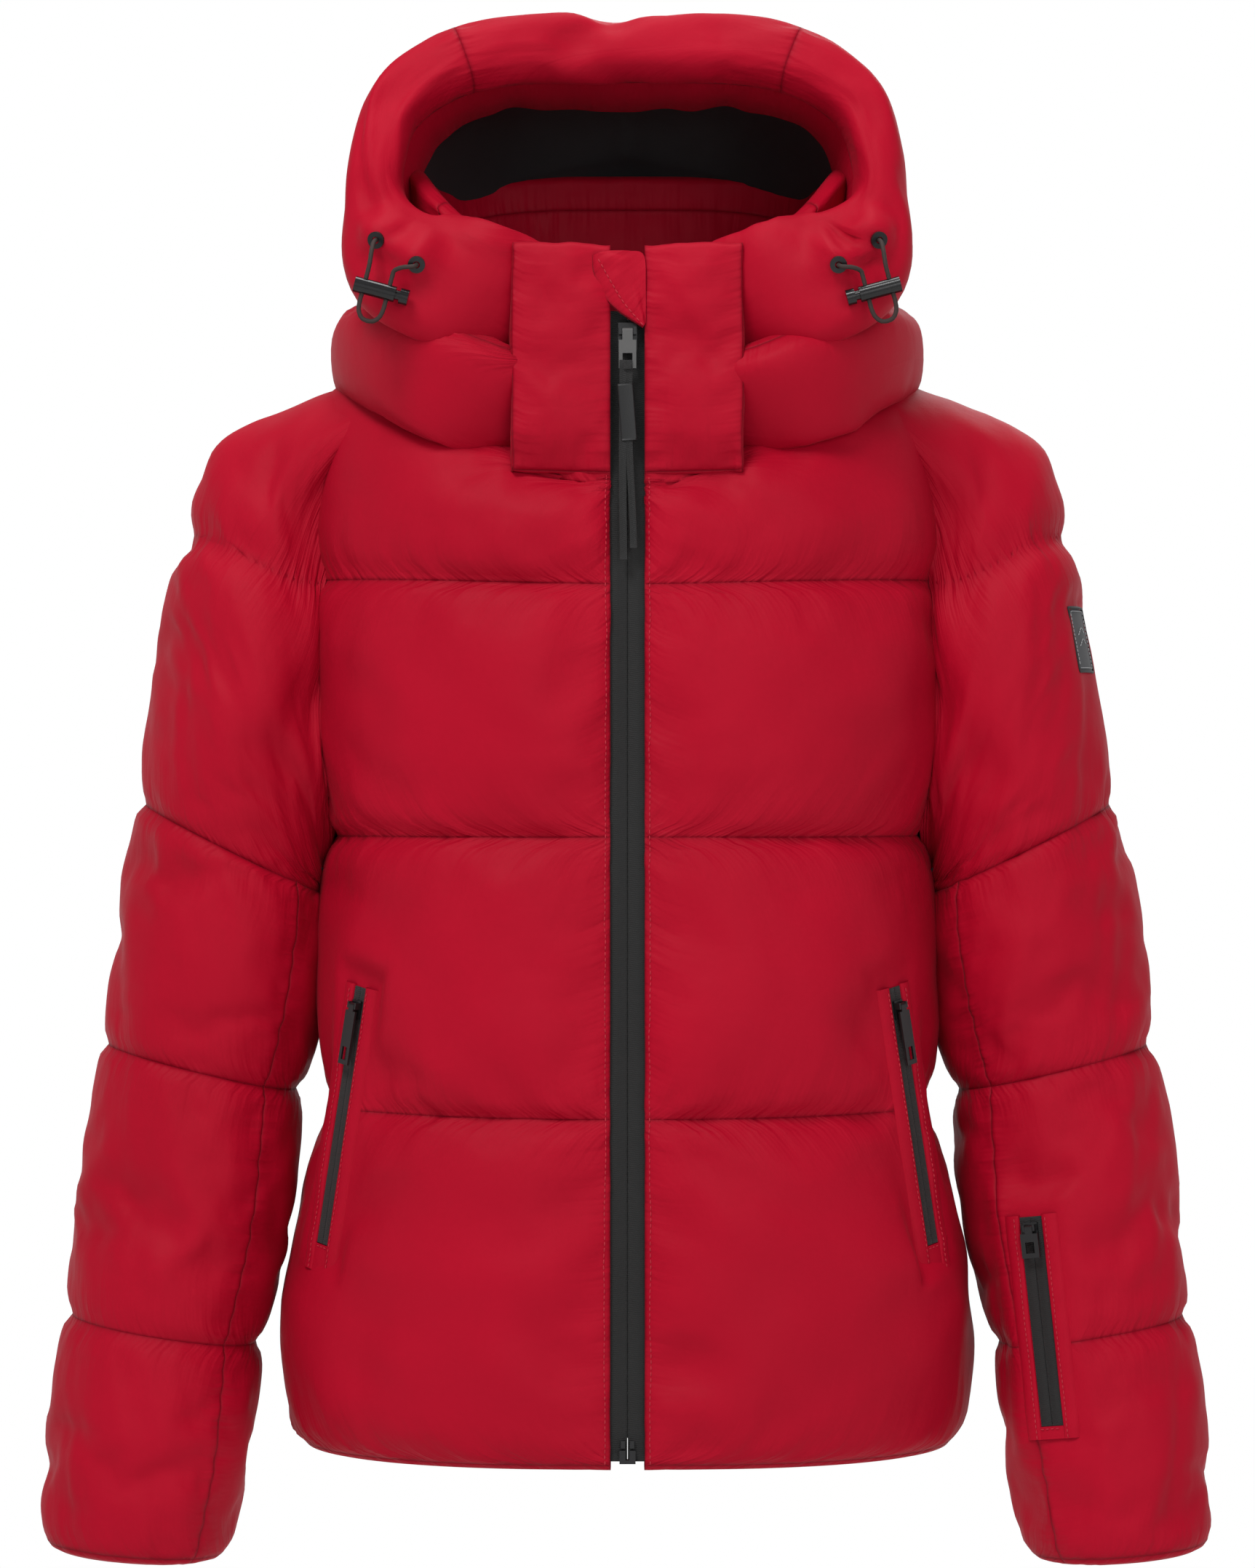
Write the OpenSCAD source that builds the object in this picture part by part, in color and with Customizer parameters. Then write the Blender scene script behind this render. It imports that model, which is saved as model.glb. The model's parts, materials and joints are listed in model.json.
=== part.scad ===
// Hooded, quilted ski jacket for a woman, about size S to M, in the shape it has when worn.
// X runs from the wearer's right to the wearer's left, Y from the front to the back, Z up.
// Lengths are in millimetres. The drawing's zero is at the hem, under the middle of the body,
// and place() then moves the whole jacket so that the origin is at the hanger loop.

/* [Body] */
// Half the width of the body at its widest, just above the hem
hem_half = 188; // [182:1:190]
// Half the width of the body at the waist seam
waist_half = 164; // [160:1:168]
// Distance from the middle plane to the front closure at the hem
front_depth = 142; // [136:1:146]
// Distance from the middle plane to the back at the chest
back_depth = 125; // [118:1:130]
// Where the armhole plane cuts the body, from the middle
armhole_x = 163; // [161:0.5:164]

/* [Layers] */
// Thickness of the outer fabric
fabric_t = 1.2; // [0.8:0.1:1.4]
// Depth at which the padding ends
padding_end = 11; // [9:0.5:11]
// Depth at which the lining ends
lining_end = 12.5; // [12:0.5:13]
// Clearance between layers
layer_gap = 0.5; // [0.3:0.1:0.6]

/* [Main zip] */
// Half the width of the visible zip strip
strip_half = 9; // [8:0.5:10]
// Width of the front zip's slider
slider_w = 10; // [9:0.5:11]
// Length of the front zip's slider
slider_l = 15; // [13:0.5:16]

/* [Pocket zips] */
// Length of a hand pocket's zip
pocket_zip_l = 140; // [130:1:145]
// Width of a hand pocket's zip
pocket_zip_w = 10; // [9:0.5:10]
// Length of the sleeve pocket's zip
sleeve_zip_l = 112; // [100:1:114]
// Width of the sleeve pocket's zip
sleeve_zip_w = 13; // [11:0.5:13]

/* [Drawcords] */
// Diameter of the elastic drawcord
cord_d = 2.4; // [2:0.1:2.6]
// Diameter of the cord lock's barrel
barrel_d = 8.4; // [8:0.1:9]
// How far the cord lock's button goes in
button_travel = 2.2; // [1.5:0.1:2.3]

/* [Hidden] */
$fn = 24;

// Where the hanger loop's top is in the drawing
loop_at = [0, 64, 607];
padding_start = fabric_t + layer_gap;
lining_start = padding_end + layer_gap;
red = "firebrick";
black = "#181818";

// The front closure is a straight line from the hem to the top of the collar, leaning back
front_top_z = 634;
front_top_depth = 116;
lean = atan((front_depth - front_top_depth) / front_top_z);
function front_y(z) = -front_depth + (front_depth - front_top_depth) * z / front_top_z;

// Body rings from hem to neck: height at front, side and back, half width, back depth,
// squareness (below 1 is squarer), how much of a layer's depth also lowers the ring, and how
// late round the ring its height leaves the front's or the back's
body_rings = [
    [0, 0, 0, hem_half - 4, back_depth - 5, 0.85, 0, 1],
    [55, 55, 55, hem_half, back_depth + 2, 0.85, 0, 1],
    [120, 120, 120, (hem_half + waist_half) / 2 + 2, back_depth - 4, 0.8, 0, 1],
    [180, 182, 182, waist_half, back_depth - 14, 0.72, 0, 1],
    [250, 250, 250, waist_half + 4, back_depth - 7, 0.8, 0, 1],
    [328, 328, 328, armhole_x - 1, back_depth - 9, 0.85, 0, 1],
    [395, 395, 395, armhole_x + 10, back_depth, 0.85, 0, 1],
    [460, 465, 468, armhole_x + 10, back_depth - 4, 0.9, 0, 1],
    [495, 525, 540, armhole_x + 7, back_depth - 13, 1.1, 0.5, 2],
    [512, 566, 582, armhole_x + 1, back_depth - 26, 1.25, 1, 2],
    [520, 592, 600, 84, 90, 0.8, 1, 3]];

// Collar rings from the neck seam to the top edge, in the same form
collar_rings = [
    [521, 593, 601, 84, 90, 0.8, 0, 3],
    [575, 628, 648, 84, 88, 0.7, 0, 3],
    [front_top_z, 664, 696, 80, 84, 0.65, 0, 3]];

// Angles of the columns of half a body ring, from the front edge to the middle of the back
half_angles = [1, 8, 16, 25, 35, 45, 55, 65, 77, 90, 103, 115, 130, 147, 163, 180];
half_n = len(half_angles) - 1;
ring_angles = concat(half_angles, [for (j = [half_n - 1:-1:0]) 360 - half_angles[j]]);
ring_n = len(ring_angles) - 1;
front_cols = [0, 7];
side_cols = [7, 11];
back_cols = [11, ring_n - 11];
collar_seam = 5;

function signed_pow(v, e) = sign(v) * pow(abs(v), e);
function unit(v) = v / norm(v);

// Point of a body ring r at angle a, at depth d under the outer surface; edge is the x of the
// ring's first and last point beside the front closure
function ring_point(r, a, d, edge, widest) =
    let(s = sin(a),
        c = cos(a),
        front = c > 0,
        end = a < 2 || a > 358,
        w = min(abs((r[3] - d) * signed_pow(s, r[5])), widest - d),
        x = end ? edge : max(w, edge),
        z_end = front ? r[0] : r[2],
        z = z_end + (r[1] - z_end) * pow(abs(s), r[7]) - d * r[6],
        y = front ? (front_y(r[0]) + d) * pow(c, r[5]) : (r[4] - d) * pow(-c, r[5]))
    [a > 180 ? -x : x, y, z];
// A half ring's middle back point lies on the middle plane
function ring(r, d, edge, widest) =
    [for (a = ring_angles) a == 180 ? [0, r[4] - d, r[2] - d * r[6]]
        : ring_point(r, a, d, edge, widest)];
// Rings above the armpit stop at the armhole plane
anywhere = 1000;
function widest(r) = r[1] > 300 ? armhole_x : anywhere;
function body_grid(d, edge) = [for (r = body_rings) ring(r, d, edge, widest(r))];
function collar_grid(d, edge) = [for (r = collar_rings) ring(r, d, edge, anywhere)];
function columns(g, span) = [for (row = g) [for (j = [span[0]:span[1]]) row[j]]];

// Smooth curve through the points of p, at u from 0 to 1
function spline(p, u) =
    let(n = len(p) - 1,
        i = min(floor(u * n), n - 1),
        t = u * n - i,
        a = p[max(i - 1, 0)],
        b = p[i],
        c = p[i + 1],
        d = p[min(i + 2, n)])
    0.5 * (2 * b + (c - a) * t + (2 * a - 5 * b + 4 * c - d) * t * t
        + (3 * b - a - 3 * c + d) * t * t * t);

// Closed solid between an outer and an inner grid of points; wrap joins its last column
// to its first
module slab(outer, inner, wrap = false) {
    r = len(outer);
    c = len(outer[0]);
    n = r * c;
    last = wrap ? c - 1 : c - 2;
    function at(i, j) = i * c + j % c;
    skins = [for (i = [0:r - 2]) for (j = [0:last]) each [
        [at(i, j), at(i + 1, j), at(i + 1, j + 1)],
        [at(i, j), at(i + 1, j + 1), at(i, j + 1)],
        [n + at(i, j), n + at(i + 1, j + 1), n + at(i + 1, j)],
        [n + at(i, j), n + at(i, j + 1), n + at(i + 1, j + 1)]]];
    ends = [for (j = [0:last]) each [
        [at(0, j), at(0, j + 1), n + at(0, j + 1)],
        [at(0, j), n + at(0, j + 1), n + at(0, j)],
        [at(r - 1, j), n + at(r - 1, j + 1), at(r - 1, j + 1)],
        [at(r - 1, j), n + at(r - 1, j), n + at(r - 1, j + 1)]]];
    sides = wrap ? [] : [for (i = [0:r - 2]) each [
        [at(i, 0), n + at(i + 1, 0), at(i + 1, 0)],
        [at(i, 0), n + at(i, 0), n + at(i + 1, 0)],
        [at(i, c - 1), at(i + 1, c - 1), n + at(i + 1, c - 1)],
        [at(i, c - 1), n + at(i + 1, c - 1), n + at(i, c - 1)]]];
    polyhedron(points = concat([for (row = outer) each row], [for (row = inner) each row]),
        faces = concat(skins, ends, sides), convexity = 6);
}

// Closed solid swept through rings of points, with flat ends
module sweep(g) {
    r = len(g);
    c = len(g[0]);
    walls = [for (i = [0:r - 2]) for (j = [0:c - 1]) each [
        [i * c + j, (i + 1) * c + (j + 1) % c, (i + 1) * c + j],
        [i * c + j, i * c + (j + 1) % c, (i + 1) * c + (j + 1) % c]]];
    caps = [[for (j = [c - 1:-1:0]) j], [for (j = [0:c - 1]) (r - 1) * c + j]];
    polyhedron(points = [for (row = g) each row], faces = concat(walls, caps), convexity = 6);
}

// Rings of a round tube along a path; radii is one number or one per point, and centre is a
// point that the path goes round, from which the rings take their direction
function tube_rings(path, radii, centre, sides) =
    [for (i = [0:len(path) - 1])
        let(p = path[i],
            n = len(path) - 1,
            along = unit(path[min(i + 1, n)] - path[max(i - 1, 0)]),
            out = p - centre,
            e1 = unit(out - (out * along) * along),
            e2 = cross(along, e1),
            rad = is_list(radii) ? radii[i] : radii)
        [for (k = [0:sides - 1]) p + rad * (cos(k * 360 / sides) * e1
            - sin(k * 360 / sides) * e2)]];

module place() {
    translate(-loop_at) children();
}

module left_side(left) {
    mirror([left ? 0 : 1, 0, 0]) children();
}

// ---- Body ----

module body_piece(span, d0, d1, edge) {
    place() slab(columns(body_grid(d0, edge), span), columns(body_grid(d1, edge), span));
}

armhole_z = 438;
armhole_half_y = 50;
armhole_half_z = 112;

// The armholes, cut out of a layer of the body
module open_armholes() {
    difference() {
        children();
        place() translate([-200, 0, armhole_z]) rotate([0, 90, 0])
            scale([armhole_half_z, armhole_half_y, 1]) cylinder(r = 1, h = 400, $fn = 24);
    }
}

module front_panel(left) {
    color(red) {
        if (left)
            body_piece(front_cols, 0, fabric_t, strip_half);
        else
            body_piece([ring_n - front_cols[1], ring_n], 0, fabric_t, strip_half);
    }
}

module front_panel_left() {
    front_panel(true);
}

module front_panel_right() {
    front_panel(false);
}

module side_panels() {
    color(red) open_armholes() {
        body_piece(side_cols, 0, fabric_t, strip_half);
        body_piece([ring_n - side_cols[1], ring_n - side_cols[0]], 0, fabric_t, strip_half);
    }
}

module back_panel() {
    color(red) body_piece(back_cols, 0, fabric_t, strip_half);
}

// The padding stops short of the closure, where the zip tape is sewn in
padding_edge = 16;
body_padding_start = padding_start + 1;

module padding_fronts() {
    color("white") {
        body_piece(front_cols, body_padding_start, padding_end, padding_edge);
        body_piece([ring_n - front_cols[1], ring_n], body_padding_start, padding_end,
            padding_edge);
    }
}

module padding_sides() {
    color("white") open_armholes() {
        body_piece(side_cols, body_padding_start, padding_end, padding_edge);
        body_piece([ring_n - side_cols[1], ring_n - side_cols[0]], body_padding_start,
            padding_end, padding_edge);
    }
}

module padding_back() {
    color("white") body_piece(back_cols, body_padding_start, padding_end, padding_edge);
}

// The lining of the sleeve caps hangs in the armholes of the body's lining
module body_lining() {
    color(black) open_armholes() body_piece([0, ring_n], lining_start, lining_end, strip_half);
    for (s = [true, false]) sleeve_layer(s, cap_rows, lining_start, lining_end, black);
}

// ---- Collar ----

collar_t = 12;
collar_edge = 15;

module collar_piece(span, edge) {
    place() color(red) slab(columns(collar_grid(0, edge), span),
        columns(collar_grid(collar_t, edge), span));
}

module collar_fronts() {
    collar_piece([0, collar_seam], collar_edge);
    collar_piece([ring_n - collar_seam, ring_n], collar_edge);
}

module collar_back() {
    collar_piece([collar_seam, ring_n - collar_seam], collar_edge);
}

// ---- Front zip ----
// Its parts are drawn in the closure's own frame: x across, y forward into the jacket,
// z up along the closure, from the hem

tape_t = 1;
tape_gap = 1.1;
tape_outer = 11;
tape_y = 2;
zip_top = 606;
coil_r = 1.2;
slider_at = 592;

module closure() {
    place() translate([0, -front_depth, 0]) rotate([-lean, 0, 0]) children();
}

module zip_tapes() {
    color(black) closure() for (s = [0, 1]) mirror([s, 0, 0])
        translate([tape_gap, tape_y, 2]) cube([tape_outer - tape_gap, tape_t, zip_top - 2]);
}

module zip_coils() {
    color("#303030") closure() for (s = [0, 1]) mirror([s, 0, 0])
        translate([tape_gap + coil_r + 0.1, tape_y + tape_t + coil_r, 14])
            cylinder(r = coil_r, h = zip_top - 18);
}

box_w = 8.4;
box_h = 7;

// The box is closed round the foot of one coil and the pin stands in it
module zip_box() {
    color(black) closure() difference() {
        translate([-box_w / 2, -1.4, 1]) cube([box_w, 7.4, box_h]);
        translate([-1.05, -1.5, 3]) cube([2.1, 7.6, box_h]);
        for (s = [0, 1]) mirror([s, 0, 0])
            translate([1.0, tape_y - 0.1, 0]) cube([box_w, tape_t + 0.2, box_h + 2]);
    }
}

module zip_pin() {
    color("#505050") closure() for (s = [0, 1]) mirror([s, 0, 0])
        translate([tape_gap + 0.2, -0.6, 9]) cube([2.2, 2.4, 4]);
}

// Slider: a plate in front of the tapes, a plate behind the coils and a neck between them
module main_slider() {
    color("#202020") closure() translate([0, 0, slider_at]) {
        translate([-slider_w / 2, -0.6, -slider_l / 2]) cube([slider_w, 1.9, slider_l]);
        translate([-0.8, 1.3, -1]) cube([1.6, 4.5, slider_l / 2]);
        translate([-slider_w / 2, 5.8, -slider_l / 2]) cube([slider_w, 1.4, slider_l]);
        for (s = [0, 1]) mirror([s, 0, 0]) translate([3, -4.2, 1]) cube([1.6, 3.6, 4]);
        translate([-3, -2.7, 3]) rotate([0, 90, 0]) cylinder(r = 0.8, h = 6);
    }
}

pull_l = 20;
pull_pin = [0, -2.7, slider_at + 3];

// The metal pull hangs from the slider's cross pin
module main_pull() {
    color("#383838") closure() translate(pull_pin) {
        difference() {
            union() {
                translate([-2.7, 0, 0]) rotate([0, 90, 0]) cylinder(r = 1.6, h = 5.4);
                translate([-2.7, -1.6, -6]) cube([5.4, 1.2, 6]);
                translate([-4.6, -1.6, -pull_l]) cube([9.2, 1.2, pull_l - 5]);
            }
            translate([-3, 0, 0]) rotate([0, 90, 0]) cylinder(r = 0.85, h = 6);
            translate([-2.6, -3, -pull_l + 2]) cube([5.2, 4, 6]);
        }
    }
}

wrap_z = -28;
tail_l = 122;

// Two flat tails folded through the pull's slot and held by a wrap
module pull_ribbon() {
    color(black) closure() translate(pull_pin) {
        translate([-2.4, -2.7, -pull_l + 1.9]) cube([4.8, 1, 4.2]);
        translate([-2.4, -1.7, -pull_l + 2.2]) cube([4.8, 2.4, 3.6]);
        translate([-2.4, -2.7, wrap_z]) cube([4.8, 1, -pull_l + 1.9 - wrap_z]);
        translate([-4.2, -3.4, wrap_z - 30]) cube([8.4, 2.4, 30]);
        translate([-4.2, -2.6, -tail_l]) cube([4.2, 1, tail_l + wrap_z - 30]);
        translate([0.2, -2.6, -tail_l + 6]) cube([4, 1, tail_l - 6 + wrap_z - 30]);
    }
}

// Flap that covers the top end of the zip
module zip_garage() {
    color(red) closure() hull() {
        translate([-15, -1.8, zip_top + 27]) cube([30, 1.4, 1]);
        translate([-15, -1.8, zip_top + 10]) cube([2, 1.4, 2]);
        translate([1, -1.8, zip_top - 4]) cube([8, 1.4, 2]);
    }
}

// A strap bow stands off the inside of the back of the collar; its ends are sewn to the neck
bow_r = 46;
bow_ends = 73.5;
loop_h = 8;

module hanger_loop() {
    place() color(black) translate([0, loop_at[1] - 0.8 + bow_r, loop_at[2] - loop_h / 2])
        linear_extrude(loop_h) intersection() {
            difference() {
                circle(r = bow_r, $fn = 96);
                circle(r = bow_r - 1.6, $fn = 96);
            }
            translate([-bow_r, -bow_r - 1])
                square([2 * bow_r, bow_ends - loop_at[1] + 1.8]);
        }
}

// ---- Hand pockets ----
// Frame of a pocket: x across the zip, y into the jacket, z up along the zip from its foot

pocket_foot = [163.2, -76.1, 110];
pocket_head = [141.7, -89.6, 249];
pocket_out = [0.75, -0.66, 0];
pocket_slider_at = pocket_zip_l - 12;

function frame_matrix(x, y, z, o) = [
    [x[0], y[0], z[0], o[0]],
    [x[1], y[1], z[1], o[1]],
    [x[2], y[2], z[2], o[2]],
    [0, 0, 0, 1]];

module zip_frame(foot, head, facing) {
    along = unit(head - foot);
    out = unit(facing - (facing * along) * along);
    place() multmatrix(frame_matrix(cross(along, out), -out, along, foot)) children();
}

module pocket_frame() {
    zip_frame(pocket_foot, pocket_head, pocket_out) children();
}

module zip_strip(w, l) {
    difference() {
        translate([-w / 2, 0, 0]) cube([w, 1.4, l]);
        translate([-1, -0.1, 4]) cube([2, 1.6, l - 8]);
    }
}

// Small slider with a cross pin for its pull
module small_slider(w) {
    translate([-w / 2, -1.5, -5]) cube([w, 1.3, 10]);
    translate([-0.8, -0.2, -3]) cube([1.6, 1.7, 6]);
    for (s = [0, 1]) mirror([s, 0, 0]) translate([2.3, -4.6, 0.5]) cube([1.2, 3.2, 3.4]);
    translate([-2.3, -3.4, 2.2]) rotate([0, 90, 0]) cylinder(r = 0.7, h = 4.6);
}

// Flat pull with a rectangular hole near its end, on the slider's cross pin
module small_pull(w, l, hole) {
    translate([0, -3.4, 2.2]) difference() {
        union() {
            translate([-2.1, 0, 0]) rotate([0, 90, 0]) cylinder(r = 1.4, h = 4.2);
            translate([-2.1, -1.4, -4]) cube([4.2, 1.2, 4]);
            translate([-w / 2, -1.4, -l]) cube([w, 1.2, l - 3]);
        }
        translate([-3, 0, 0]) rotate([0, 90, 0]) cylinder(r = 0.75, h = 6);
        translate([-w / 4, -3, -l + 2.5]) cube([w / 2, 4, hole]);
    }
}

module pocket_zips() {
    for (s = [true, false]) left_side(s) color(black) pocket_frame()
        zip_strip(pocket_zip_w, pocket_zip_l);
}

module pocket_slider(left) {
    left_side(left) color("#202020") pocket_frame() translate([0, 0, pocket_slider_at])
        small_slider(7);
}

module pocket_slider_left() {
    pocket_slider(true);
}

module pocket_slider_right() {
    pocket_slider(false);
}

module pocket_pull(left) {
    left_side(left) color("#2c2c2c") pocket_frame() translate([0, 0, pocket_slider_at])
        small_pull(8, 32, 7);
}

module pocket_pull_left() {
    pocket_pull(true);
}

module pocket_pull_right() {
    pocket_pull(false);
}

// Flat pocket bags hang inside the lining, behind the pocket zips
module pocket_bags() {
    for (s = [true, false]) left_side(s) color(black) place()
        hull() {
            translate([112, -84, 120]) rotate([0, 0, 42]) cube([2, 2, 120]);
            translate([60, -108, 100]) cube([2, 2, 120]);
        }
}

// ---- Sleeves ----
// Rings of the left sleeve: inner point (x, z), outer point (x, z), middle y, half depth
sleeve_x0 = armhole_x + 0.5;
sleeve_rings = [
    [[sleeve_x0, 310], [sleeve_x0, 566], 0, 72],
    [[sleeve_x0 + 0.6, 307], [204, 548], 0, 77],
    [[sleeve_x0 + 0.9, 304.5], [225, 522], 0, 80],
    [[sleeve_x0 + 1.2, 302], [240, 488], 0, 80],
    [[sleeve_x0 + 1.6, 299], [256, 410], 0, 77],
    [[sleeve_x0 + 2, 296], [265, 345], -1, 71],
    [[172, 245], [279, 278], -3, 72],
    [[182, 189], [286, 214], -6, 64],
    [[191, 120], [298, 142], -14, 64],
    [[203, 52], [304, 68], -22, 60],
    [[210, 0], [312, 12], -31, 57],
    [[219, -60], [315, -52], -40, 50]];
cap_row = 5;
elbow_row = 7;
bend_gap = 0.8;
sleeve_cols = 16;

function sleeve_ring(r, d, drop) =
    let(inner = [r[0][0], r[2], r[0][1] - drop],
        outer = [r[1][0], r[2], r[1][1] - drop],
        mid = (inner + outer) / 2,
        half = (outer - inner) / 2,
        across = half * (1 - d / norm(half)),
        deep = [0, r[3] - d, 0])
    [for (k = [0:sleeve_cols - 1])
        let(a = k * 360 / sleeve_cols)
        mid + signed_pow(cos(a), 0.92) * across - signed_pow(sin(a), 0.92) * deep];
// A tube that hangs from a bend starts a gap below it
function sleeve_grid(span, d) =
    [for (i = [span[0]:span[1]])
        sleeve_ring(sleeve_rings[i], d, span[0] > 0 && i == span[0] ? bend_gap : 0)];

module sleeve_layer(left, span, d0, d1, paint) {
    left_side(left) color(paint) place()
        slab(sleeve_grid(span, d0), sleeve_grid(span, d1), true);
}

cap_rows = [0, cap_row];
upper_rows = [cap_row, elbow_row];
lower_rows = [elbow_row, len(sleeve_rings) - 1];

module sleeve_caps() {
    for (s = [true, false]) sleeve_layer(s, cap_rows, 0, fabric_t, red);
}

module sleeve_cap_padding() {
    for (s = [true, false]) sleeve_layer(s, cap_rows, padding_start, padding_end, "white");
}

module sleeve_upper_left() {
    sleeve_layer(true, upper_rows, 0, fabric_t, red);
}

module sleeve_upper_right() {
    sleeve_layer(false, upper_rows, 0, fabric_t, red);
}

module sleeve_padding_upper_left() {
    sleeve_layer(true, upper_rows, padding_start, padding_end, "white");
}

module sleeve_padding_upper_right() {
    sleeve_layer(false, upper_rows, padding_start, padding_end, "white");
}

module sleeve_lining_upper_left() {
    sleeve_layer(true, upper_rows, lining_start, lining_end, black);
}

module sleeve_lining_upper_right() {
    sleeve_layer(false, upper_rows, lining_start, lining_end, black);
}

module sleeve_lower_left() {
    sleeve_layer(true, lower_rows, 0, fabric_t, red);
}

module sleeve_lower_right() {
    sleeve_layer(false, lower_rows, 0, fabric_t, red);
}

module sleeve_padding_lower_left() {
    sleeve_layer(true, lower_rows, padding_start, padding_end, "white");
}

module sleeve_padding_lower_right() {
    sleeve_layer(false, lower_rows, padding_start, padding_end, "white");
}

module sleeve_lining_lower_left() {
    sleeve_layer(true, lower_rows, lining_start, lining_end, black);
}

module sleeve_lining_lower_right() {
    sleeve_layer(false, lower_rows, lining_start, lining_end, black);
}

// Label sewn to the outside of the left upper arm
module sleeve_patch() {
    place() color("dimgray") translate([245.5, -43, 434]) rotate([0, -11, -22])
        cube([1.2, 26, 36], center = true);
}

// Frame of the sleeve pocket's zip: x across, y into the sleeve, z up from its foot
sleeve_zip_foot = [227, -79, 13];
sleeve_zip_head = [215.5, -74, 124.5];
sleeve_out = [-0.45, -0.89, 0];
sleeve_slider_at = sleeve_zip_l - 8;

module sleeve_zip_frame() {
    zip_frame(sleeve_zip_foot, sleeve_zip_head, sleeve_out) children();
}

module sleeve_zip() {
    color(black) sleeve_zip_frame() zip_strip(sleeve_zip_w, sleeve_zip_l);
}

module sleeve_slider() {
    color("#202020") sleeve_zip_frame() translate([0, 0, sleeve_slider_at]) small_slider(8);
}

module sleeve_pull() {
    color("#2c2c2c") sleeve_zip_frame() translate([0, 0, sleeve_slider_at])
        small_pull(10, 16, 6);
}

// ---- Hood ----

// Middle line of the padded rim, from beside the collar to the top, and its radii
rim_half = [[64, -122, 606], [94, -113, 625], [121, -102, 650], [134, -90, 688],
    [122, -80, 724], [78, -74, 744], [0, -72, 749]];
rim_half_r = [19, 27, 26, 17, 20, 22, 22];
rim_last = len(rim_half) - 1;
rim_points = concat(rim_half, [for (i = [rim_last - 1:-1:0])
    [-rim_half[i][0], rim_half[i][1], rim_half[i][2]]]);
rim_r = concat(rim_half_r, [for (i = [rim_last - 1:-1:0]) rim_half_r[i]]);
rim_centre = [0, -95, 680];

module rim_piece(from, to, steps) {
    us = [for (k = [0:steps]) (from + (to - from) * k / steps) / (2 * rim_last)];
    place() color(red) sweep(tube_rings([for (u = us) spline(rim_points, u)],
        [for (u = us) spline(rim_r, u)], rim_centre, 14));
}

module hood_rim_sides() {
    for (s = [true, false]) left_side(s) rim_piece(0, 2.35, 6);
}

module hood_rim_top() {
    rim_piece(2.65, 2 * rim_last - 2.65, 20);
}

// Middle line of the lower roll round the neck, and its radii
band_half = [[66, -121, 552], [98, -100, 569], [130, -54, 594], [138, 0, 602], [128, 58, 606],
    [80, 102, 614], [0, 120, 618]];
band_half_r = [19, 22, 20, 20, 21, 22, 22];
band_points = concat(band_half, [for (i = [rim_last - 1:-1:0])
    [-band_half[i][0], band_half[i][1], band_half[i][2]]]);
band_r = concat(band_half_r, [for (i = [rim_last - 1:-1:0]) band_half_r[i]]);

module hood_band() {
    us = [for (k = [0:24]) k / 24];
    place() color(red) sweep(tube_rings([for (u = us) spline(band_points, u)],
        [for (u = us) spline(band_r, u)], [0, 0, 600], 12));
}

// The hood's shell fans out from its front edge over the head to its lower edge at the nape.
// Each table runs from the middle of the head to the side: front edge, lower edge, and the
// centre that the shell bulges away from.
shell_front = [[0, -42, 768], [66, -44, 760], [110, -50, 738], [136, -60, 700],
    [146, -68, 662]];
shell_back = [[0, 140, 646], [70, 122, 642], [122, 72, 636], [150, 5, 624], [153, -46, 620]];
shell_core = [[0, -16, 612], [55, -22, 614], [94, -34, 618], [126, -54, 626],
    [139, -64, 640]];
fan_power = 0.8;

// The shell at depth d: fan goes from 0 at the front edge to 1 at the lower edge
function shell_point(fan, side, d) =
    let(u = abs(side),
        o = spline(shell_core, u),
        p = o + pow(cos(fan * 90), fan_power) * (spline(shell_front, u) - o)
            + pow(sin(fan * 90), fan_power) * (spline(shell_back, u) - o),
        q = p - d * unit(p - [0, -30, 600 + 40 * (1 - u)]))
    [side < 0 ? -q[0] : q[0], q[1], q[2]];
function shell_grid(fans, sides, d) =
    [for (f = fans) [for (s = sides) shell_point(f, s, d)]];
function steps(a, b, n) = [for (k = [0:n]) a + (b - a) * k / n];

dome_end = 0.6;
nape_start = 0.8;
centre_half = 0.36;

module hood_piece(fans, sides, d0, d1, paint) {
    place() color(paint) slab(shell_grid(fans, sides, d0), shell_grid(fans, sides, d1));
}

// All the hood's layers share their rows and columns, so that they stay a gap apart
dome_fans = steps(0, dome_end, 6);
nape_fans = steps(nape_start, 1, 3);
right_sides = steps(-1, -centre_half, 5);
centre_sides = steps(-centre_half, centre_half, 6);
left_sides = steps(centre_half, 1, 5);
hood_sides = concat([for (k = [0:4]) right_sides[k]], centre_sides,
    [for (k = [1:5]) left_sides[k]]);

module hood_centre_panel() {
    hood_piece(dome_fans, centre_sides, 0, fabric_t, red);
}

module hood_side_panels() {
    hood_piece(dome_fans, right_sides, 0, fabric_t, red);
    hood_piece(dome_fans, left_sides, 0, fabric_t, red);
}

module hood_padding() {
    hood_piece(dome_fans, hood_sides, padding_start, padding_end, "white");
}

module hood_lining() {
    hood_piece(dome_fans, hood_sides, lining_start, lining_end, black);
}

module hood_nape() {
    hood_piece(nape_fans, hood_sides, 0, lining_end, red);
}

// ---- Drawcord and cord lock ----
// Frame of the left cord lock: x along the barrel, outwards and up, z along the cord
lock_at = [130, -140, 614];
lock_tilt = 15;
eyelet_outer = [131.6, -129, 641.5];
eyelet_inner = [110.2, -138.8, 627.7];
outer_facing = [10, -25.5, -8];
inner_facing = [1, -27.5, -10];
eyelet_r = 4.5;
strand_out = 8;
strand_in = -5;
barrel_from = -9;
barrel_to = 13;
button_l = 4.5;

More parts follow.
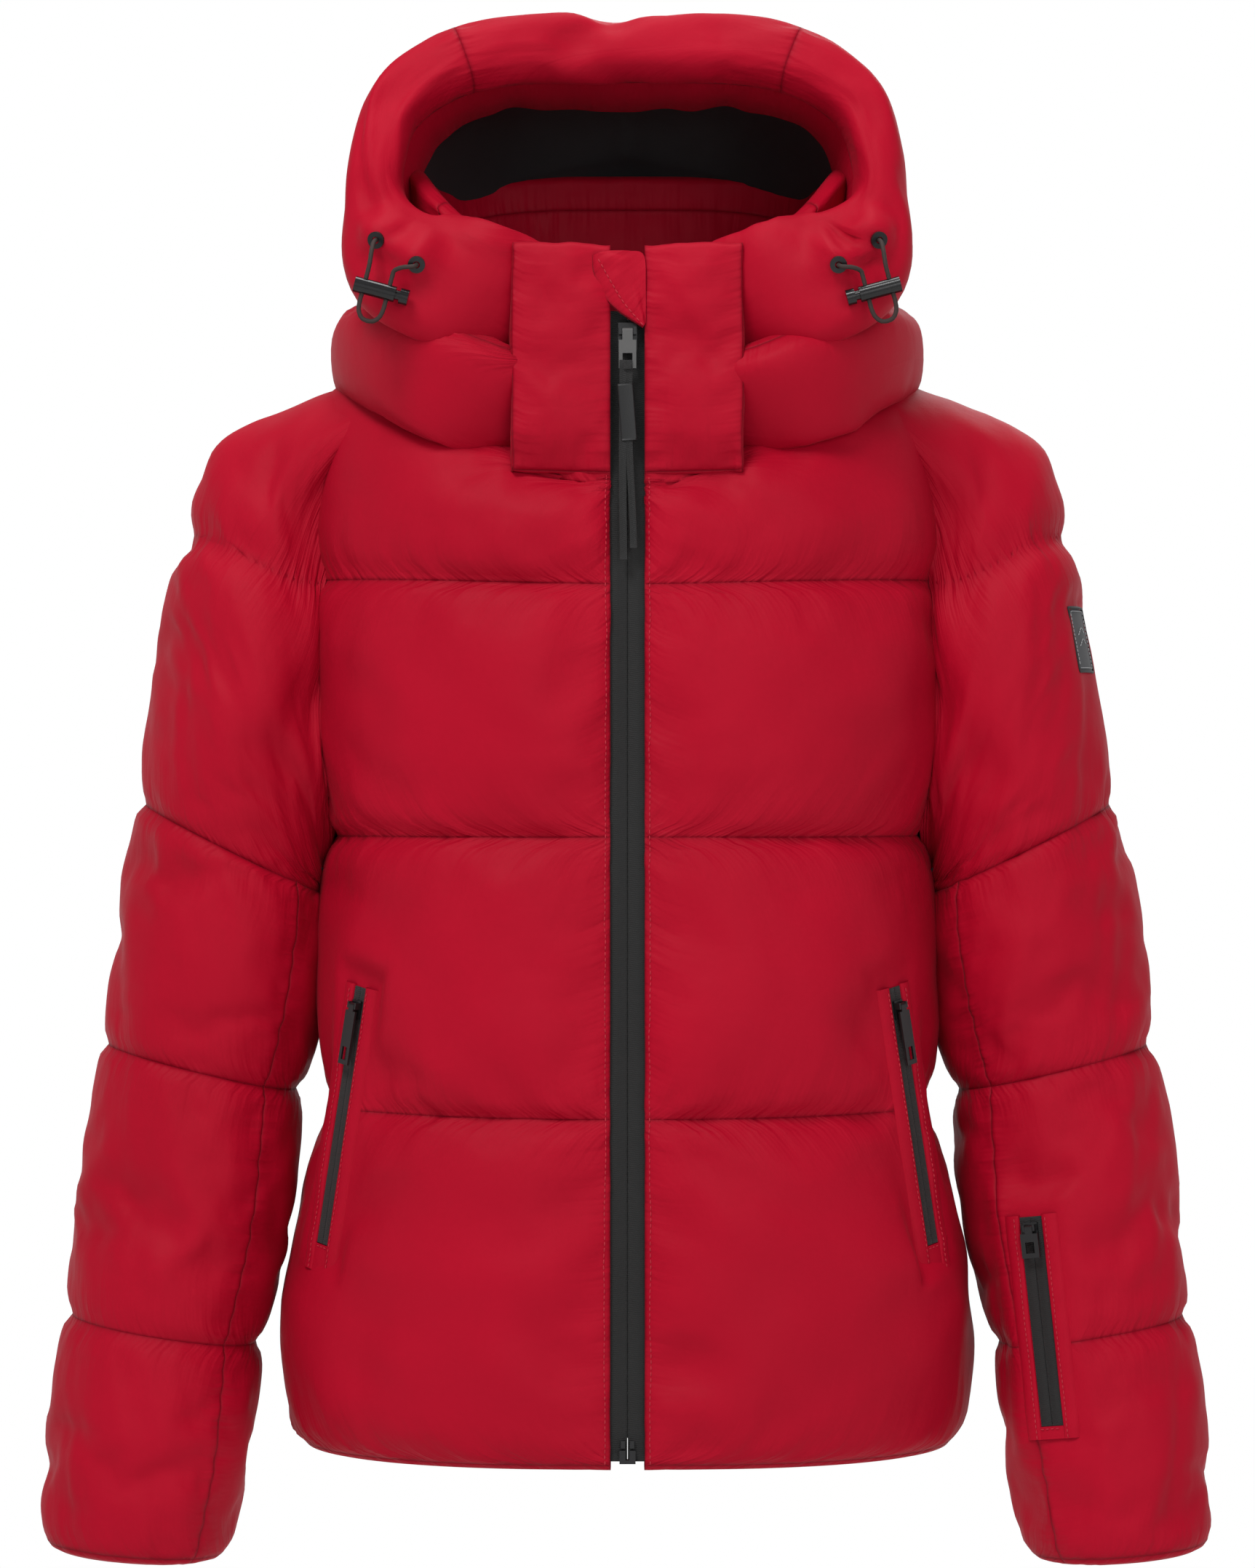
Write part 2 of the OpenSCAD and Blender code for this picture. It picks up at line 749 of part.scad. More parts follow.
module lock_frame() {
    place() translate(lock_at) rotate([0, -lock_tilt, 0]) children();
}

// The barrel has one plain cross hole, one over the button's rod, and a blind bore
module cord_lock(left) {
    left_side(left) color(black) lock_frame() difference() {
        translate([barrel_from, 0, 0]) rotate([0, 90, 0])
            cylinder(d = barrel_d, h = barrel_to - barrel_from, $fn = 32);
        translate([barrel_from - 1, 0, 0]) rotate([0, 90, 0]) cylinder(r = 2.9, h = 14.5);
        translate([strand_out, 0, -8]) cylinder(r = 1.8, h = 16, $fn = 20);
        translate([strand_in, 0, -8]) cylinder(r = 1.8, h = 16, $fn = 20);
    }
}

module cord_lock_left() {
    cord_lock(true);
}

module cord_lock_right() {
    cord_lock(false);
}

rod_end = 0.5;
spring_l = 3.8;

// The button's rod has a slot that the cord runs through
module lock_button(left) {
    left_side(left) color("#101010") lock_frame() difference() {
        union() {
            translate([barrel_from - button_travel - 0.3 - button_l, 0, 0])
                rotate([0, 90, 0]) cylinder(d = barrel_d, h = button_l, $fn = 32);
            translate([barrel_from - button_travel - 1, 0, 0]) rotate([0, 90, 0])
                cylinder(r = 2.6, h = rod_end - barrel_from + button_travel + 1);
        }
        translate([strand_in - 1.8 - button_travel, -1.7, -8])
            cube([3.6 + button_travel, 3.4, 16]);
    }
}

module lock_button_left() {
    lock_button(true);
}

module lock_button_right() {
    lock_button(false);
}

// The spring stands between the rod and the blind end of the bore
module lock_spring(left) {
    left_side(left) color("silver") lock_frame() translate([rod_end, 0, 0])
        rotate([0, 90, 0]) difference() {
            cylinder(r = 2.4, h = spring_l);
            translate([0, 0, -1]) cylinder(r = 1.4, h = 7);
        }
}

module lock_spring_left() {
    lock_spring(true);
}

module lock_spring_right() {
    lock_spring(false);
}

module eyelet(at, facing) {
    z = unit(facing);
    x = unit(cross([0, 0, 1], z));
    multmatrix(frame_matrix(x, cross(z, x), z, at)) difference() {
        cylinder(r = eyelet_r, h = 1.6);
        translate([0, 0, -1]) cylinder(r = 1.9, h = 4);
    }
}

module eyelets() {
    for (s = [true, false]) left_side(s) color(black) place() {
        eyelet(eyelet_outer, outer_facing);
        eyelet(eyelet_inner, inner_facing);
    }
}

// Route of the drawcord in the cord lock's frame: from the inner eyelet through the barrel,
// round its loop and back to the outer eyelet
cord_route = [
    [-15.4, 1, 18.4], [-15.6, -0.5, 17.6], [-14, -2.2, 16.3], [-9, -2, 14.5], [-5.4, -0.5, 12],
    [-5, 0, 9], [-5, 0, 3], [-5, 0, -3], [-5, 0, -9], [-4, 0, -13.5], [-1, 0, -16.6],
    [4, 0, -16.6], [7, 0, -13.5], [8, 0, -9], [8, 0, -3], [8, 0, 3], [8, 0, 9],
    [8.2, 0.2, 13], [9, 2, 19], [9.4, 6, 24], [8.6, 11, 26.4]];

module drawcord(left) {
    n = 30;
    path = [for (k = [0:n]) spline(cord_route, k / n)];
    left_side(left) color("#241c1c") lock_frame()
        sweep(tube_rings(path, cord_d / 2, [1.5, 40, 0], 8));
}

module drawcord_left() {
    drawcord(true);
}

module drawcord_right() {
    drawcord(false);
}

front_panel_left();
front_panel_right();
side_panels();
back_panel();
padding_fronts();
padding_sides();
padding_back();
body_lining();
sleeve_caps();
sleeve_cap_padding();
collar_fronts();
collar_back();
zip_garage();
hanger_loop();
zip_tapes();
zip_coils();
zip_box();
zip_pin();
pocket_zips();
pocket_bags();
hood_band();
hood_rim_sides();
hood_nape();
eyelets();
drawcord_left();
drawcord_right();
hood_rim_top();
hood_centre_panel();
hood_side_panels();
hood_padding();
hood_lining();
sleeve_upper_left();
sleeve_upper_right();
sleeve_padding_upper_left();
sleeve_padding_upper_right();
sleeve_lining_upper_left();
sleeve_lining_upper_right();
sleeve_lower_left();
sleeve_lower_right();
sleeve_padding_lower_left();
sleeve_padding_lower_right();
sleeve_lining_lower_left();
sleeve_lining_lower_right();
sleeve_patch();
sleeve_zip();
main_slider();
main_pull();
pull_ribbon();
pocket_slider_left();
pocket_pull_left();
pocket_slider_right();
pocket_pull_right();
sleeve_slider();
sleeve_pull();
cord_lock_left();
cord_lock_right();
lock_button_left();
lock_button_right();
lock_spring_left();
lock_spring_right();
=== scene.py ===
import json
import math

import bpy
import numpy as np
from mathutils import Matrix, Vector


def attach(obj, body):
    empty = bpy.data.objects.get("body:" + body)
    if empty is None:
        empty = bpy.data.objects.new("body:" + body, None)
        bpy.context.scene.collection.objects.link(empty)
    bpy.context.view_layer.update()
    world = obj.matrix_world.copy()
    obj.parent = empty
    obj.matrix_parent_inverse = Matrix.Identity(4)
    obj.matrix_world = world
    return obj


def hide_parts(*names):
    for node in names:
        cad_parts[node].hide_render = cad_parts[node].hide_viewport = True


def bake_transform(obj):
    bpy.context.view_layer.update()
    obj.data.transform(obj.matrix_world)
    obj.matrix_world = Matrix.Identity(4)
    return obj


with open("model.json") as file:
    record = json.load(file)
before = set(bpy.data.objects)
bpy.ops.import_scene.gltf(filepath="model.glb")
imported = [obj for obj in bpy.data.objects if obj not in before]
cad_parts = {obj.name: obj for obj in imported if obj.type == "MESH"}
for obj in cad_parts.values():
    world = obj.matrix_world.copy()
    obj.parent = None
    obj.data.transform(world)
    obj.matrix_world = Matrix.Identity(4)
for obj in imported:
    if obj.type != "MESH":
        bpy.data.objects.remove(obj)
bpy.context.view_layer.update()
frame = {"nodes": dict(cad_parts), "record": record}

# Sizes are in millimetres in the garment's own frame: x to the wearer's left, y to the back,
# z up from the hem. ZERO moves them to the part's frame, whose origin is the hanger loop.
ZERO = np.array([0.0, 64.0, 607.0])
ROOT, HOOD = "root", "hood"
SIDES = (("left", 1), ("right", -1))


def to_frame(p):
    return (np.asarray(p, float) - ZERO) / 1000


def to_garment(p):
    return np.asarray(p, float) * 1000 + ZERO


# ---- Smooth curves, noise and grids ----
def unit(v):
    v = np.asarray(v, float)
    return v / np.linalg.norm(v, axis=-1, keepdims=True)


def spline(points, u):
    """Catmull-Rom curve through points; u is an array from 0 to 1."""
    p = np.asarray(points, float)
    if p.ndim == 1:
        p = p[:, None]
    n = len(p) - 1
    u = np.clip(np.atleast_1d(u), 0, 1) * n
    i = np.minimum(u.astype(int), n - 1)
    t = (u - i)[:, None]
    a, b, c, d = p[np.maximum(i - 1, 0)], p[i], p[i + 1], p[np.minimum(i + 2, n)]
    return 0.5 * (2 * b + (c - a) * t + (2 * a - 5 * b + 4 * c - d) * t**2
                  + (3 * b - a - 3 * c + d) * t**3)


def noise(x, y=0.0, seed=0):
    """Smooth noise from about -1 to 1 with features one unit apart."""
    x, y = np.broadcast_arrays(np.asarray(x, float), np.asarray(y, float))
    table = np.random.default_rng(seed).uniform(-1, 1, (64, 64))
    i, j = np.floor(x).astype(int), np.floor(y).astype(int)
    s, t = x - i, y - j
    s, t = s * s * (3 - 2 * s), t * t * (3 - 2 * t)

    def at(a, b):
        return table[a % 64, b % 64]
    return ((1 - s) * (1 - t) * at(i, j) + s * (1 - t) * at(i + 1, j)
            + (1 - s) * t * at(i, j + 1) + s * t * at(i + 1, j + 1)) * 1.4


def bump(d, width):
    return np.exp(-(np.asarray(d) / width) ** 2)


def smooth(x, a, b):
    t = np.clip((np.asarray(x, float) - a) / (b - a), 0, 1)
    return t * t * (3 - 2 * t)


def arc(points):
    steps = np.linalg.norm(np.diff(points, axis=0), axis=1)
    return np.concatenate([[0], np.cumsum(steps)])


def even(points, n):
    """n + 1 points evenly spaced along a polyline."""
    s = arc(points)
    t = np.linspace(0, s[-1], n + 1)
    return np.stack([np.interp(t, s, points[:, k]) for k in range(3)], axis=1)


def doubled(a, closed):
    """Rows with a new one between each two, on a smooth curve through its neighbours."""
    if closed:
        p = np.concatenate([a[-1:], a, a[:2]])
    else:
        p = np.concatenate([2 * a[:1] - a[1:2], a, 2 * a[-1:] - a[-2:-1]])
    n = len(a) if closed else len(a) - 1
    out = np.empty((len(a) + n,) + a.shape[1:])
    out[0::2] = a
    out[1::2] = (9 * (p[1:n + 1] + p[2:n + 2]) - p[0:n] - p[3:n + 3]) / 16
    return out


def finer(g, wrap=False):
    """A grid of points with twice the rows and columns, smoothly interpolated."""
    return doubled(doubled(g, False).swapaxes(0, 1), wrap).swapaxes(0, 1)


def normals(g, wrap=False):
    """Unit normals of a grid, on the side where row cross column points."""
    if wrap:
        du = np.roll(g, -1, 1) - np.roll(g, 1, 1)
    else:
        du = np.gradient(g, axis=1)
    n = np.cross(du, np.gradient(g, axis=0))
    return n / np.maximum(np.linalg.norm(n, axis=2, keepdims=True), 1e-9)


def lengths(g):
    """Distance along the rows and along the columns of a grid, in mm."""
    du = np.linalg.norm(np.diff(g, axis=1), axis=2)
    u = np.concatenate([np.zeros((len(g), 1)), np.cumsum(du, axis=1)], axis=1)
    dv = np.linalg.norm(np.diff(g, axis=0), axis=2)
    v = np.concatenate([np.zeros((1, g.shape[1])), np.cumsum(dv, axis=0)], axis=0)
    return u - u[:, u.shape[1] // 2][:, None], v


def grid_faces(r, c, wrap=False):
    cols = np.arange(c if wrap else c - 1)
    i, j = np.meshgrid(np.arange(r - 1), cols, indexing="ij")
    k = (j + 1) % c
    return np.stack([i * c + j, i * c + k, (i + 1) * c + k, (i + 1) * c + j], -1).reshape(-1, 4)


def mirrored(g):
    """The other side's grid: x turned over and the columns reversed, so it still faces out."""
    return (g * np.array([-1.0, 1.0, 1.0]))[:, ::-1]


def new_object(name, verts, faces, material=None, layers=None):
    """A mesh object from garment-frame points; layers has one (u, v) pair per vertex, in mm."""
    mesh = bpy.data.meshes.new(name)
    mesh.from_pydata(to_frame(verts).tolist(), [], [list(map(int, f)) for f in faces])
    loops = np.empty(len(mesh.loops), int)
    mesh.loops.foreach_get("vertex_index", loops)
    for label, uv in (layers or {}).items():
        layer = mesh.uv_layers.new(name=label)
        layer.data.foreach_set("uv", (uv.reshape(-1, 2)[loops] / 1000).ravel())
    mesh.polygons.foreach_set("use_smooth", [True] * len(mesh.polygons))
    mesh.update()
    obj = bpy.data.objects.new(name, mesh)
    bpy.context.scene.collection.objects.link(obj)
    if material is not None:
        mesh.materials.append(material)
    return obj


def placed(obj, body=ROOT, instead_of=()):
    """Says which body a piece rides on and the CAD nodes it replaces."""
    if body:
        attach(obj, body)
    if instead_of:
        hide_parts(*instead_of)
    return obj


FAR = 200.0


def to_nearest(along, seams, axis):
    """Distance of each grid point from the nearest of the seams, which are grid lines."""
    if len(seams) == 0:
        return np.full(along.shape, FAR)
    lines = [np.abs(along - np.take(along, [i], axis=axis)) for i in seams]
    return np.minimum.reduce(lines)


def grid_object(name, g, material, wrap=False, rows=(), cols=(), extra=None):
    """A cloth piece; rows and cols are its seams' places in the grid, and extra is each
    point's distance from one more seam."""
    if wrap:
        g = np.concatenate([g, g[:, :1]], axis=1)
    u, v = lengths(g)
    from_rows = to_nearest(v, rows, 0)
    if extra is not None:
        from_rows = np.minimum(from_rows, np.concatenate([extra, extra[:, :1]], axis=1))
    layers = {"UVMap": np.stack([u, v], -1),
              "Rows": np.stack([u, from_rows], -1),
              "Cols": np.stack([v, to_nearest(u, cols, 1)], -1)}
    return new_object(name, g.reshape(-1, 3), grid_faces(len(g), g.shape[1]), material, layers)


# ---- Stuffed cloth ----
def sewn(shape, rows=(), cols=()):
    """Pin weights of a grid: 1 on the seam rows and columns, 0 between them."""
    pin = np.zeros(shape)
    for i in rows:
        pin[i] = 1
    for j in cols:
        pin[:, j] = 1
    return pin


def dome(along, seams, axis, power):
    """Height of a pillow between seams: 0 on a seam and 1 in the middle of a span."""
    out = np.ones(along.shape)
    for a, b in zip(seams[:-1], seams[1:]):
        part = [slice(None), slice(None)]
        part[axis] = slice(a, b + 1)
        start, end = np.take(along, [a], axis), np.take(along, [b], axis)
        t = np.clip((along[tuple(part)] - start) / np.maximum(end - start, 1e-6), 0, 1)
        out[tuple(part)] = (4 * t * (1 - t)) ** power
    return out


def pillows(g, wrap, rows, cols, height, seed, col_power=0.3):
    """The grid raised between its seams, with slow uneven dents like stuffed cloth."""
    u, v = lengths(g)
    shape = dome(v, rows, 0, 0.55)
    if len(cols):
        shape = shape * dome(u, cols, 1, col_power)
    if wrap:
        turn = np.arange(g.shape[1])[None, :] / g.shape[1] * 9
        uneven = 1 + 0.2 * noise(np.minimum(turn, 9 - turn) * 2, v / 45, seed)
    else:
        uneven = (1 + 0.22 * noise(u / 62 + 20, v / 48, seed)
                  + 0.10 * noise(u / 27 + 30, v / 30, seed + 1))
    return g + normals(g, wrap) * (height * shape * uneven)[..., None]


def calm(g, pin, times, wrap=False):
    """Smooths a grid where it isn't sewn down."""
    free = (1 - np.clip(pin, 0, 1))[..., None] * 0.5
    for _ in range(times):
        left, right = (g[:, -1:], g[:, :1]) if wrap else (g[:, :1], g[:, -1:])
        side = np.concatenate([left, g, right], 1)
        up = np.concatenate([g[:1], g, g[-1:]])
        mean = (side[:, :-2] + side[:, 2:] + up[:-2] + up[2:]) / 4
        g = g + (mean - g) * free
    return g


PUFF_FRAMES = 18
CLOTH = {"quality": 5, "mass": 0.3, "tension_stiffness": 15, "compression_stiffness": 15,
         "shear_stiffness": 5, "bending_stiffness": 1.5, "tension_damping": 8,
         "compression_damping": 8, "shear_damping": 8, "bending_damping": 0.8,
         "air_damping": 4, "use_pressure": True, "vertex_group_mass": "pin",
         "pin_stiffness": 1.0}


def puff(g, pin, seed, pressure=2.6, grow=0.02, cap=22.0, rest=2, wrap=False):
    """Blows a grid of cloth up between its pinned points and gives back the new grid.
    pin is one weight per point: 1 is sewn down, 0 is free. No point moves more than cap,
    and rest is how many times the result is smoothed."""
    rng = np.random.default_rng(seed)
    free = 1 - np.clip(pin, 0, 1)
    start = g + normals(g, wrap) * (rng.uniform(-0.4, 0.4, pin.shape) * free)[..., None]
    obj = new_object("puffing", start.reshape(-1, 3), grid_faces(len(g), g.shape[1], wrap))
    group = obj.vertex_groups.new(name="pin")
    flat = np.clip(pin, 0, 1).ravel()
    for i in np.nonzero(flat > 0.01)[0]:
        group.add([int(i)], float(flat[i]), "REPLACE")
    cloth = obj.modifiers.new("cloth", "CLOTH")
    for key, value in CLOTH.items():
        setattr(cloth.settings, key, value)
    cloth.settings.effector_weights.gravity = 0
    cloth.settings.uniform_pressure_force = pressure
    cloth.settings.shrink_min = -grow
    cloth.collision_settings.use_collision = False
    cloth.collision_settings.use_self_collision = False
    scene = bpy.context.scene
    scene.frame_start, scene.frame_end = 1, PUFF_FRAMES
    cloth.point_cache.frame_start, cloth.point_cache.frame_end = 1, PUFF_FRAMES
    for f in range(1, PUFF_FRAMES + 1):
        scene.frame_set(f)
    seen = obj.evaluated_get(bpy.context.evaluated_depsgraph_get())
    out = np.empty(len(seen.data.vertices) * 3)
    seen.data.vertices.foreach_get("co", out)
    move = to_garment(out.reshape(-1, 3)).reshape(g.shape) - g
    mesh = obj.data
    bpy.data.objects.remove(obj)
    bpy.data.meshes.remove(mesh)
    scene.frame_set(1)
    far = np.linalg.norm(move, axis=2, keepdims=True)
    return calm(g + move * np.minimum(1, cap / np.maximum(far, 1e-6)), pin, rest, wrap)


# ---- Materials ----
class Nodes:
    """Short names for building a node material."""

    def __init__(self, name):
        self.mat = bpy.data.materials.new(name)
        self.mat.use_nodes = True
        self.tree = self.mat.node_tree
        self.shader = self.tree.nodes["Principled BSDF"]

    def plug(self, socket, value):
        if isinstance(value, bpy.types.NodeSocket):
            self.tree.links.new(value, socket)
        else:
            socket.default_value = value

    def set(self, **values):
        for key, value in values.items():
            self.plug(self.shader.inputs[key.replace("_", " ")], value)

    def add(self, kind, out=0, settings=None, **inputs):
        node = self.tree.nodes.new(kind)
        for key, value in (settings or {}).items():
            setattr(node, key, value)
        for key, value in inputs.items():
            name = int(key[1:]) if key[0] == "_" else key
            self.plug(node.inputs[name], value)
        return node.outputs[out]

    def math(self, operation, a, b=0.0, c=0.0):
        return self.add("ShaderNodeMath", settings={"operation": operation}, _0=a, _1=b, _2=c)

    def mix(self, factor, a, b):
        return self.add("ShaderNodeMix", 2, {"data_type": "RGBA"}, _0=factor, _6=a, _7=b)

    def uv(self, layer):
        return self.add("ShaderNodeUVMap", settings={"uv_map": layer})

    def noise(self, vector, scale, detail=3.0, rough=0.5):
        return self.add("ShaderNodeTexNoise", Vector=vector, Scale=scale, Detail=detail,
                        Roughness=rough)

    def split(self, vector):
        node = self.tree.nodes.new("ShaderNodeSeparateXYZ")
        self.tree.links.new(vector, node.inputs[0])
        return node.outputs

    def bump(self, height, strength, distance, **normal):
        return self.add("ShaderNodeBump", Height=height, Strength=strength, Distance=distance,
                        **normal)

    def object_at(self):
        return self.add("ShaderNodeTexCoord", 3)


def weave(n, uv, pitch):
    """Height of a plain weave with that thread pitch in metres."""
    x, y, _ = n.split(uv)
    over = n.math("SINE", n.math("MULTIPLY", x, math.tau / pitch))
    under = n.math("SINE", n.math("MULTIPLY", y, math.tau / pitch))
    return n.math("MULTIPLY", over, under)


SEAM_LINE = 0.0011


def puckers(n, layer, reach, seed):
    """Height of the small folds that run away from the seams of one UV layer, and how near
    the seam is."""
    s, t, _ = n.split(n.uv(layer))
    fade = n.math("EXPONENT", n.math("DIVIDE", t, -reach))
    lines = n.add("ShaderNodeCombineXYZ", _0=n.math("MULTIPLY", s, 120.0),
                  _1=n.math("MULTIPLY", t, 14.0), _2=seed)
    folds = n.noise(lines, 1.0, 2.0, 0.6)
    valley = n.math("EXPONENT", n.math("DIVIDE", t, -SEAM_LINE))
    height = n.math("MULTIPLY", fade, folds)
    return n.math("SUBTRACT", height, n.math("MULTIPLY", valley, 0.35)), valley


def fabric_material(name, lit, deep, seam):
    """Woven shell fabric with creases, painted light and shade in random patches, and a darker
    line of painted shade along its seams.
    """
    n = Nodes(name)
    uv = n.uv("UVMap")
    cloud = n.noise(n.object_at(), 9.0, 4.0)
    fine = n.noise(uv, 260.0, 3.0, 0.6)
    # Painted light and shade: random patches mix a lit and a shaded copy of the red, standing in
    # for the uneven light on the puffs.
    painted_light_patches = n.math("MULTIPLY_ADD", n.math("SUBTRACT", cloud, 0.5), 0.5,
                  n.math("MULTIPLY_ADD", fine, 0.12, 0.42))
    crease = n.noise(n.object_at(), 55.0, 4.0, 0.55)
    rows, row_painted_shade = puckers(n, "Rows", 0.016, 1.0)
    cols, col_painted_shade = puckers(n, "Cols", 0.011, 7.0)
    # Painted shade: a thin darker line along each seam, standing in for the shadow in the seam's
    # valley.
    line = n.math("MULTIPLY", n.math("MAXIMUM", row_painted_shade, col_painted_shade), 0.6)
    normal = n.bump(crease, 0.38, 0.0014)
    normal = n.bump(n.math("ADD", rows, cols), 0.9, 0.0034, Normal=normal)
    normal = n.bump(weave(n, uv, 0.0006), 0.10, 0.00025, Normal=normal)
    n.set(Base_Color=n.mix(line, n.mix(painted_light_patches, deep, lit), seam), Normal=normal,
          Roughness=n.math("MULTIPLY_ADD", cloud, 0.14, 0.52), Specular_IOR_Level=0.08,
          Sheen_Weight=0.03, Sheen_Roughness=0.35, Sheen_Tint=(1.0, 0.35, 0.38, 1))
    return n.mat


def plain_material(name, color, rough, metallic=0.0, grain=400.0, depth=0.0001, vary=0.25,
                   coat=0.0, sheen=0.0):
    """One colour with faint spots, worn gloss and a fine grain."""
    n = Nodes(name)
    at = n.object_at()
    dark = tuple(c * (1 - vary) for c in color)
    wear = n.noise(at, 18.0, 5.0, 0.65)
    n.set(Base_Color=n.mix(n.noise(at, 60.0, 4.0), dark + (1,), color + (1,)),
          Metallic=metallic, Roughness=n.math("MULTIPLY_ADD", wear, 0.18, rough - 0.09),
          Normal=n.bump(n.noise(at, grain, 3.0), 0.3, depth), Specular_IOR_Level=0.3,
          Coat_Weight=coat, Sheen_Weight=sheen)
    return n.mat


def webbing(name, color, rough, pitch):
    """Woven ribbon."""
    n = Nodes(name)
    spots = n.noise(n.object_at(), 70.0, 4.0)
    dark = tuple(c * 0.6 for c in color)
    n.set(Base_Color=n.mix(spots, dark + (1,), color + (1,)),
          Normal=n.bump(weave(n, n.uv("UVMap"), pitch), 0.5, 0.0003),
          Roughness=n.math("MULTIPLY_ADD", spots, 0.15, rough), Specular_IOR_Level=0.25,
          Sheen_Weight=0.08)
    return n.mat


# lit and deep are a lit and a shaded copy of the red, mixed as painted light and shade; seam is a
# darker red for painted shade in the seam valleys.
shell_red = fabric_material("shell_fabric", lit=(0.42, 0.0018, 0.019, 1),
                            deep=(0.215, 0.0004, 0.008, 1), seam=(0.12, 0.001, 0.006, 1))
lining_black = plain_material("lining_fabric", (0.012, 0.012, 0.013), 0.55, grain=900,
                              depth=0.0003, sheen=0.1)
coil_black = plain_material("zip_coil", (0.012, 0.012, 0.012), 0.5)
cord_black = plain_material("elastic_cord", (0.03, 0.018, 0.016), 0.75, grain=1400,
                            depth=0.0004)
label_grey = plain_material("patch", (0.06, 0.06, 0.064), 0.6, grain=900, depth=0.0003)
thread_red = plain_material("red_thread", (0.46, 0.006, 0.024), 0.6, grain=2500, vary=0.3,
                            sheen=0.1)
thread_pale = plain_material("pale_thread", (0.32, 0.32, 0.33), 0.6, grain=2500, vary=0.3)
ribbon_black = webbing("ribbon", (0.011, 0.011, 0.011), 0.55, 0.0011)
wrap_black = plain_material("pull_wrap", (0.006, 0.006, 0.0065), 0.5, grain=1200,
                            depth=0.0002)
FINISHES = {
    "shell_fabric": shell_red, "lining_fabric": lining_black, "padding": lining_black,
    "zip_coil": coil_black, "elastic_cord": cord_black, "patch": label_grey,
    "black_tape": plain_material("black_tape", (0.016, 0.016, 0.017), 0.62, grain=1500,
                                 depth=0.0002),
    "black_metal": plain_material("black_metal", (0.02, 0.02, 0.021), 0.36, metallic=0.6,
                                  coat=0.15),
    "lock_plastic": plain_material("lock_plastic", (0.004, 0.004, 0.0045), 0.24, coat=0.12),
    "spring_steel": plain_material("spring_steel", (0.55, 0.55, 0.55), 0.3, metallic=1.0)}
for part in frame["record"]["subparts"]:
    for slot in frame["nodes"][part["node"]].material_slots:
        slot.material = FINISHES[part["material_slot"]]
pull_grey = plain_material("pull_enamel", (0.085, 0.084, 0.083), 0.48, metallic=0.2)
frame["nodes"]["main_pull"].material_slots[0].material = pull_grey

# ---- Body ----
# Rings of the body where its seams pull it in: height at front, side and back, half width,
# back depth, squareness (below 1 is squarer), how late round the ring its height changes
RINGS = [
    (0, 0, 0, 178, 116, 0.82, 1), (58, 58, 58, 181, 120, 0.82, 1),
    (120, 120, 120, 171, 114, 0.78, 1), (180, 182, 182, 159, 106, 0.74, 1),
    (254, 256, 256, 160, 112, 0.78, 1), (328, 328, 328, 159, 112, 0.8, 1),
    (395, 395, 395, 166, 118, 0.78, 1), (461, 466, 470, 169, 116, 0.78, 1),
    (495, 525, 540, 167, 108, 0.92, 2), (512, 566, 582, 160, 95, 1.1, 2),
    (520, 592, 600, 82, 88, 0.8, 3)]
# Spans between seams, by ring number and by degrees from the front, and steps in each
BODY_ROWS = [(0, 3, 26), (3, 5, 21), (5, 7, 19), (7, 10, 18)]
BODY_COLS = [(1, 65, 24), (65, 115, 16), (115, 245, 46), (245, 295, 16), (295, 359, 24)]
STRIP_HALF = 9.0
FRONT_DEPTH, FRONT_TOP_DEPTH, FRONT_TOP_Z = 142.0, 116.0, 634.0
LEAN = math.atan((FRONT_DEPTH - FRONT_TOP_DEPTH) / FRONT_TOP_Z)


def front_y(z):
    return -FRONT_DEPTH + (FRONT_DEPTH - FRONT_TOP_DEPTH) * z / FRONT_TOP_Z


def ring_curve(r, degrees):
    a = np.radians(degrees)
    s, c = np.sin(a), np.cos(a)
    zf, zs, zb, half, back, power, late = r
    x = np.maximum(half * np.abs(s) ** power, STRIP_HALF) * np.sign(s)
    end = np.where(c > 0, zf, zb)
    z = end + (zs - end) * np.abs(s) ** late
    y = np.where(c > 0, front_y(zf), back) * np.abs(c) ** power
    return np.stack([x, y, z], -1)


def ring_row(r, spans):
    """One grid row round a ring, in even steps between its seams."""
    parts = [even(ring_curve(r, np.linspace(a, b, 60)), n)[:-1] for a, b, n in spans]
    return np.concatenate(parts + [ring_curve(r, np.array([359.0]))])


def steps_of(spans):
    """Numbers of the grid lines that lie on seams."""
    return [sum(n for _, _, n in spans[:i]) for i in range(len(spans) + 1)]


body_seams, body_joins = steps_of(BODY_ROWS), steps_of(BODY_COLS)
side_joins = [0, body_joins[2], body_joins[3], body_joins[-1]]
body_vs = np.concatenate([np.linspace(a, b, n + 1)[:-1] for a, b, n in BODY_ROWS] + [[10]])
body = np.array([ring_row(r, BODY_COLS) for r in spline(RINGS, body_vs / 10)])
body_rise = 2.5 + 8.0 * np.abs(normals(body)[:, :, 1]) ** 1.5
body_pin = sewn(body.shape[:2], body_seams, side_joins)
body_cloth = puff(pillows(body, False, body_seams, side_joins, body_rise, 3, 0.22), body_pin,
                  1, grow=0.028)

# ---- Fittings that the cloth is drawn flat under ----
POCKET_ZIP_LENGTH, SLEEVE_ZIP_LENGTH = 140.0, 112.0
LABEL_AT = np.array([245.5, -43.0, 434.0])


def axes_of(foot, head, facing):
    along = unit(np.asarray(head, float) - foot)
    out = unit(np.asarray(facing, float) - np.dot(facing, along) * along)
    return np.asarray(foot, float), np.cross(along, out), -out, along


POCKET_ZIP = axes_of((163.2, -76.1, 110), (141.7, -89.6, 249), (0.75, -0.66, 0))
SLEEVE_ZIP = axes_of((227, -79, 13), (215.5, -74, 124.5), (-0.45, -0.89, 0))


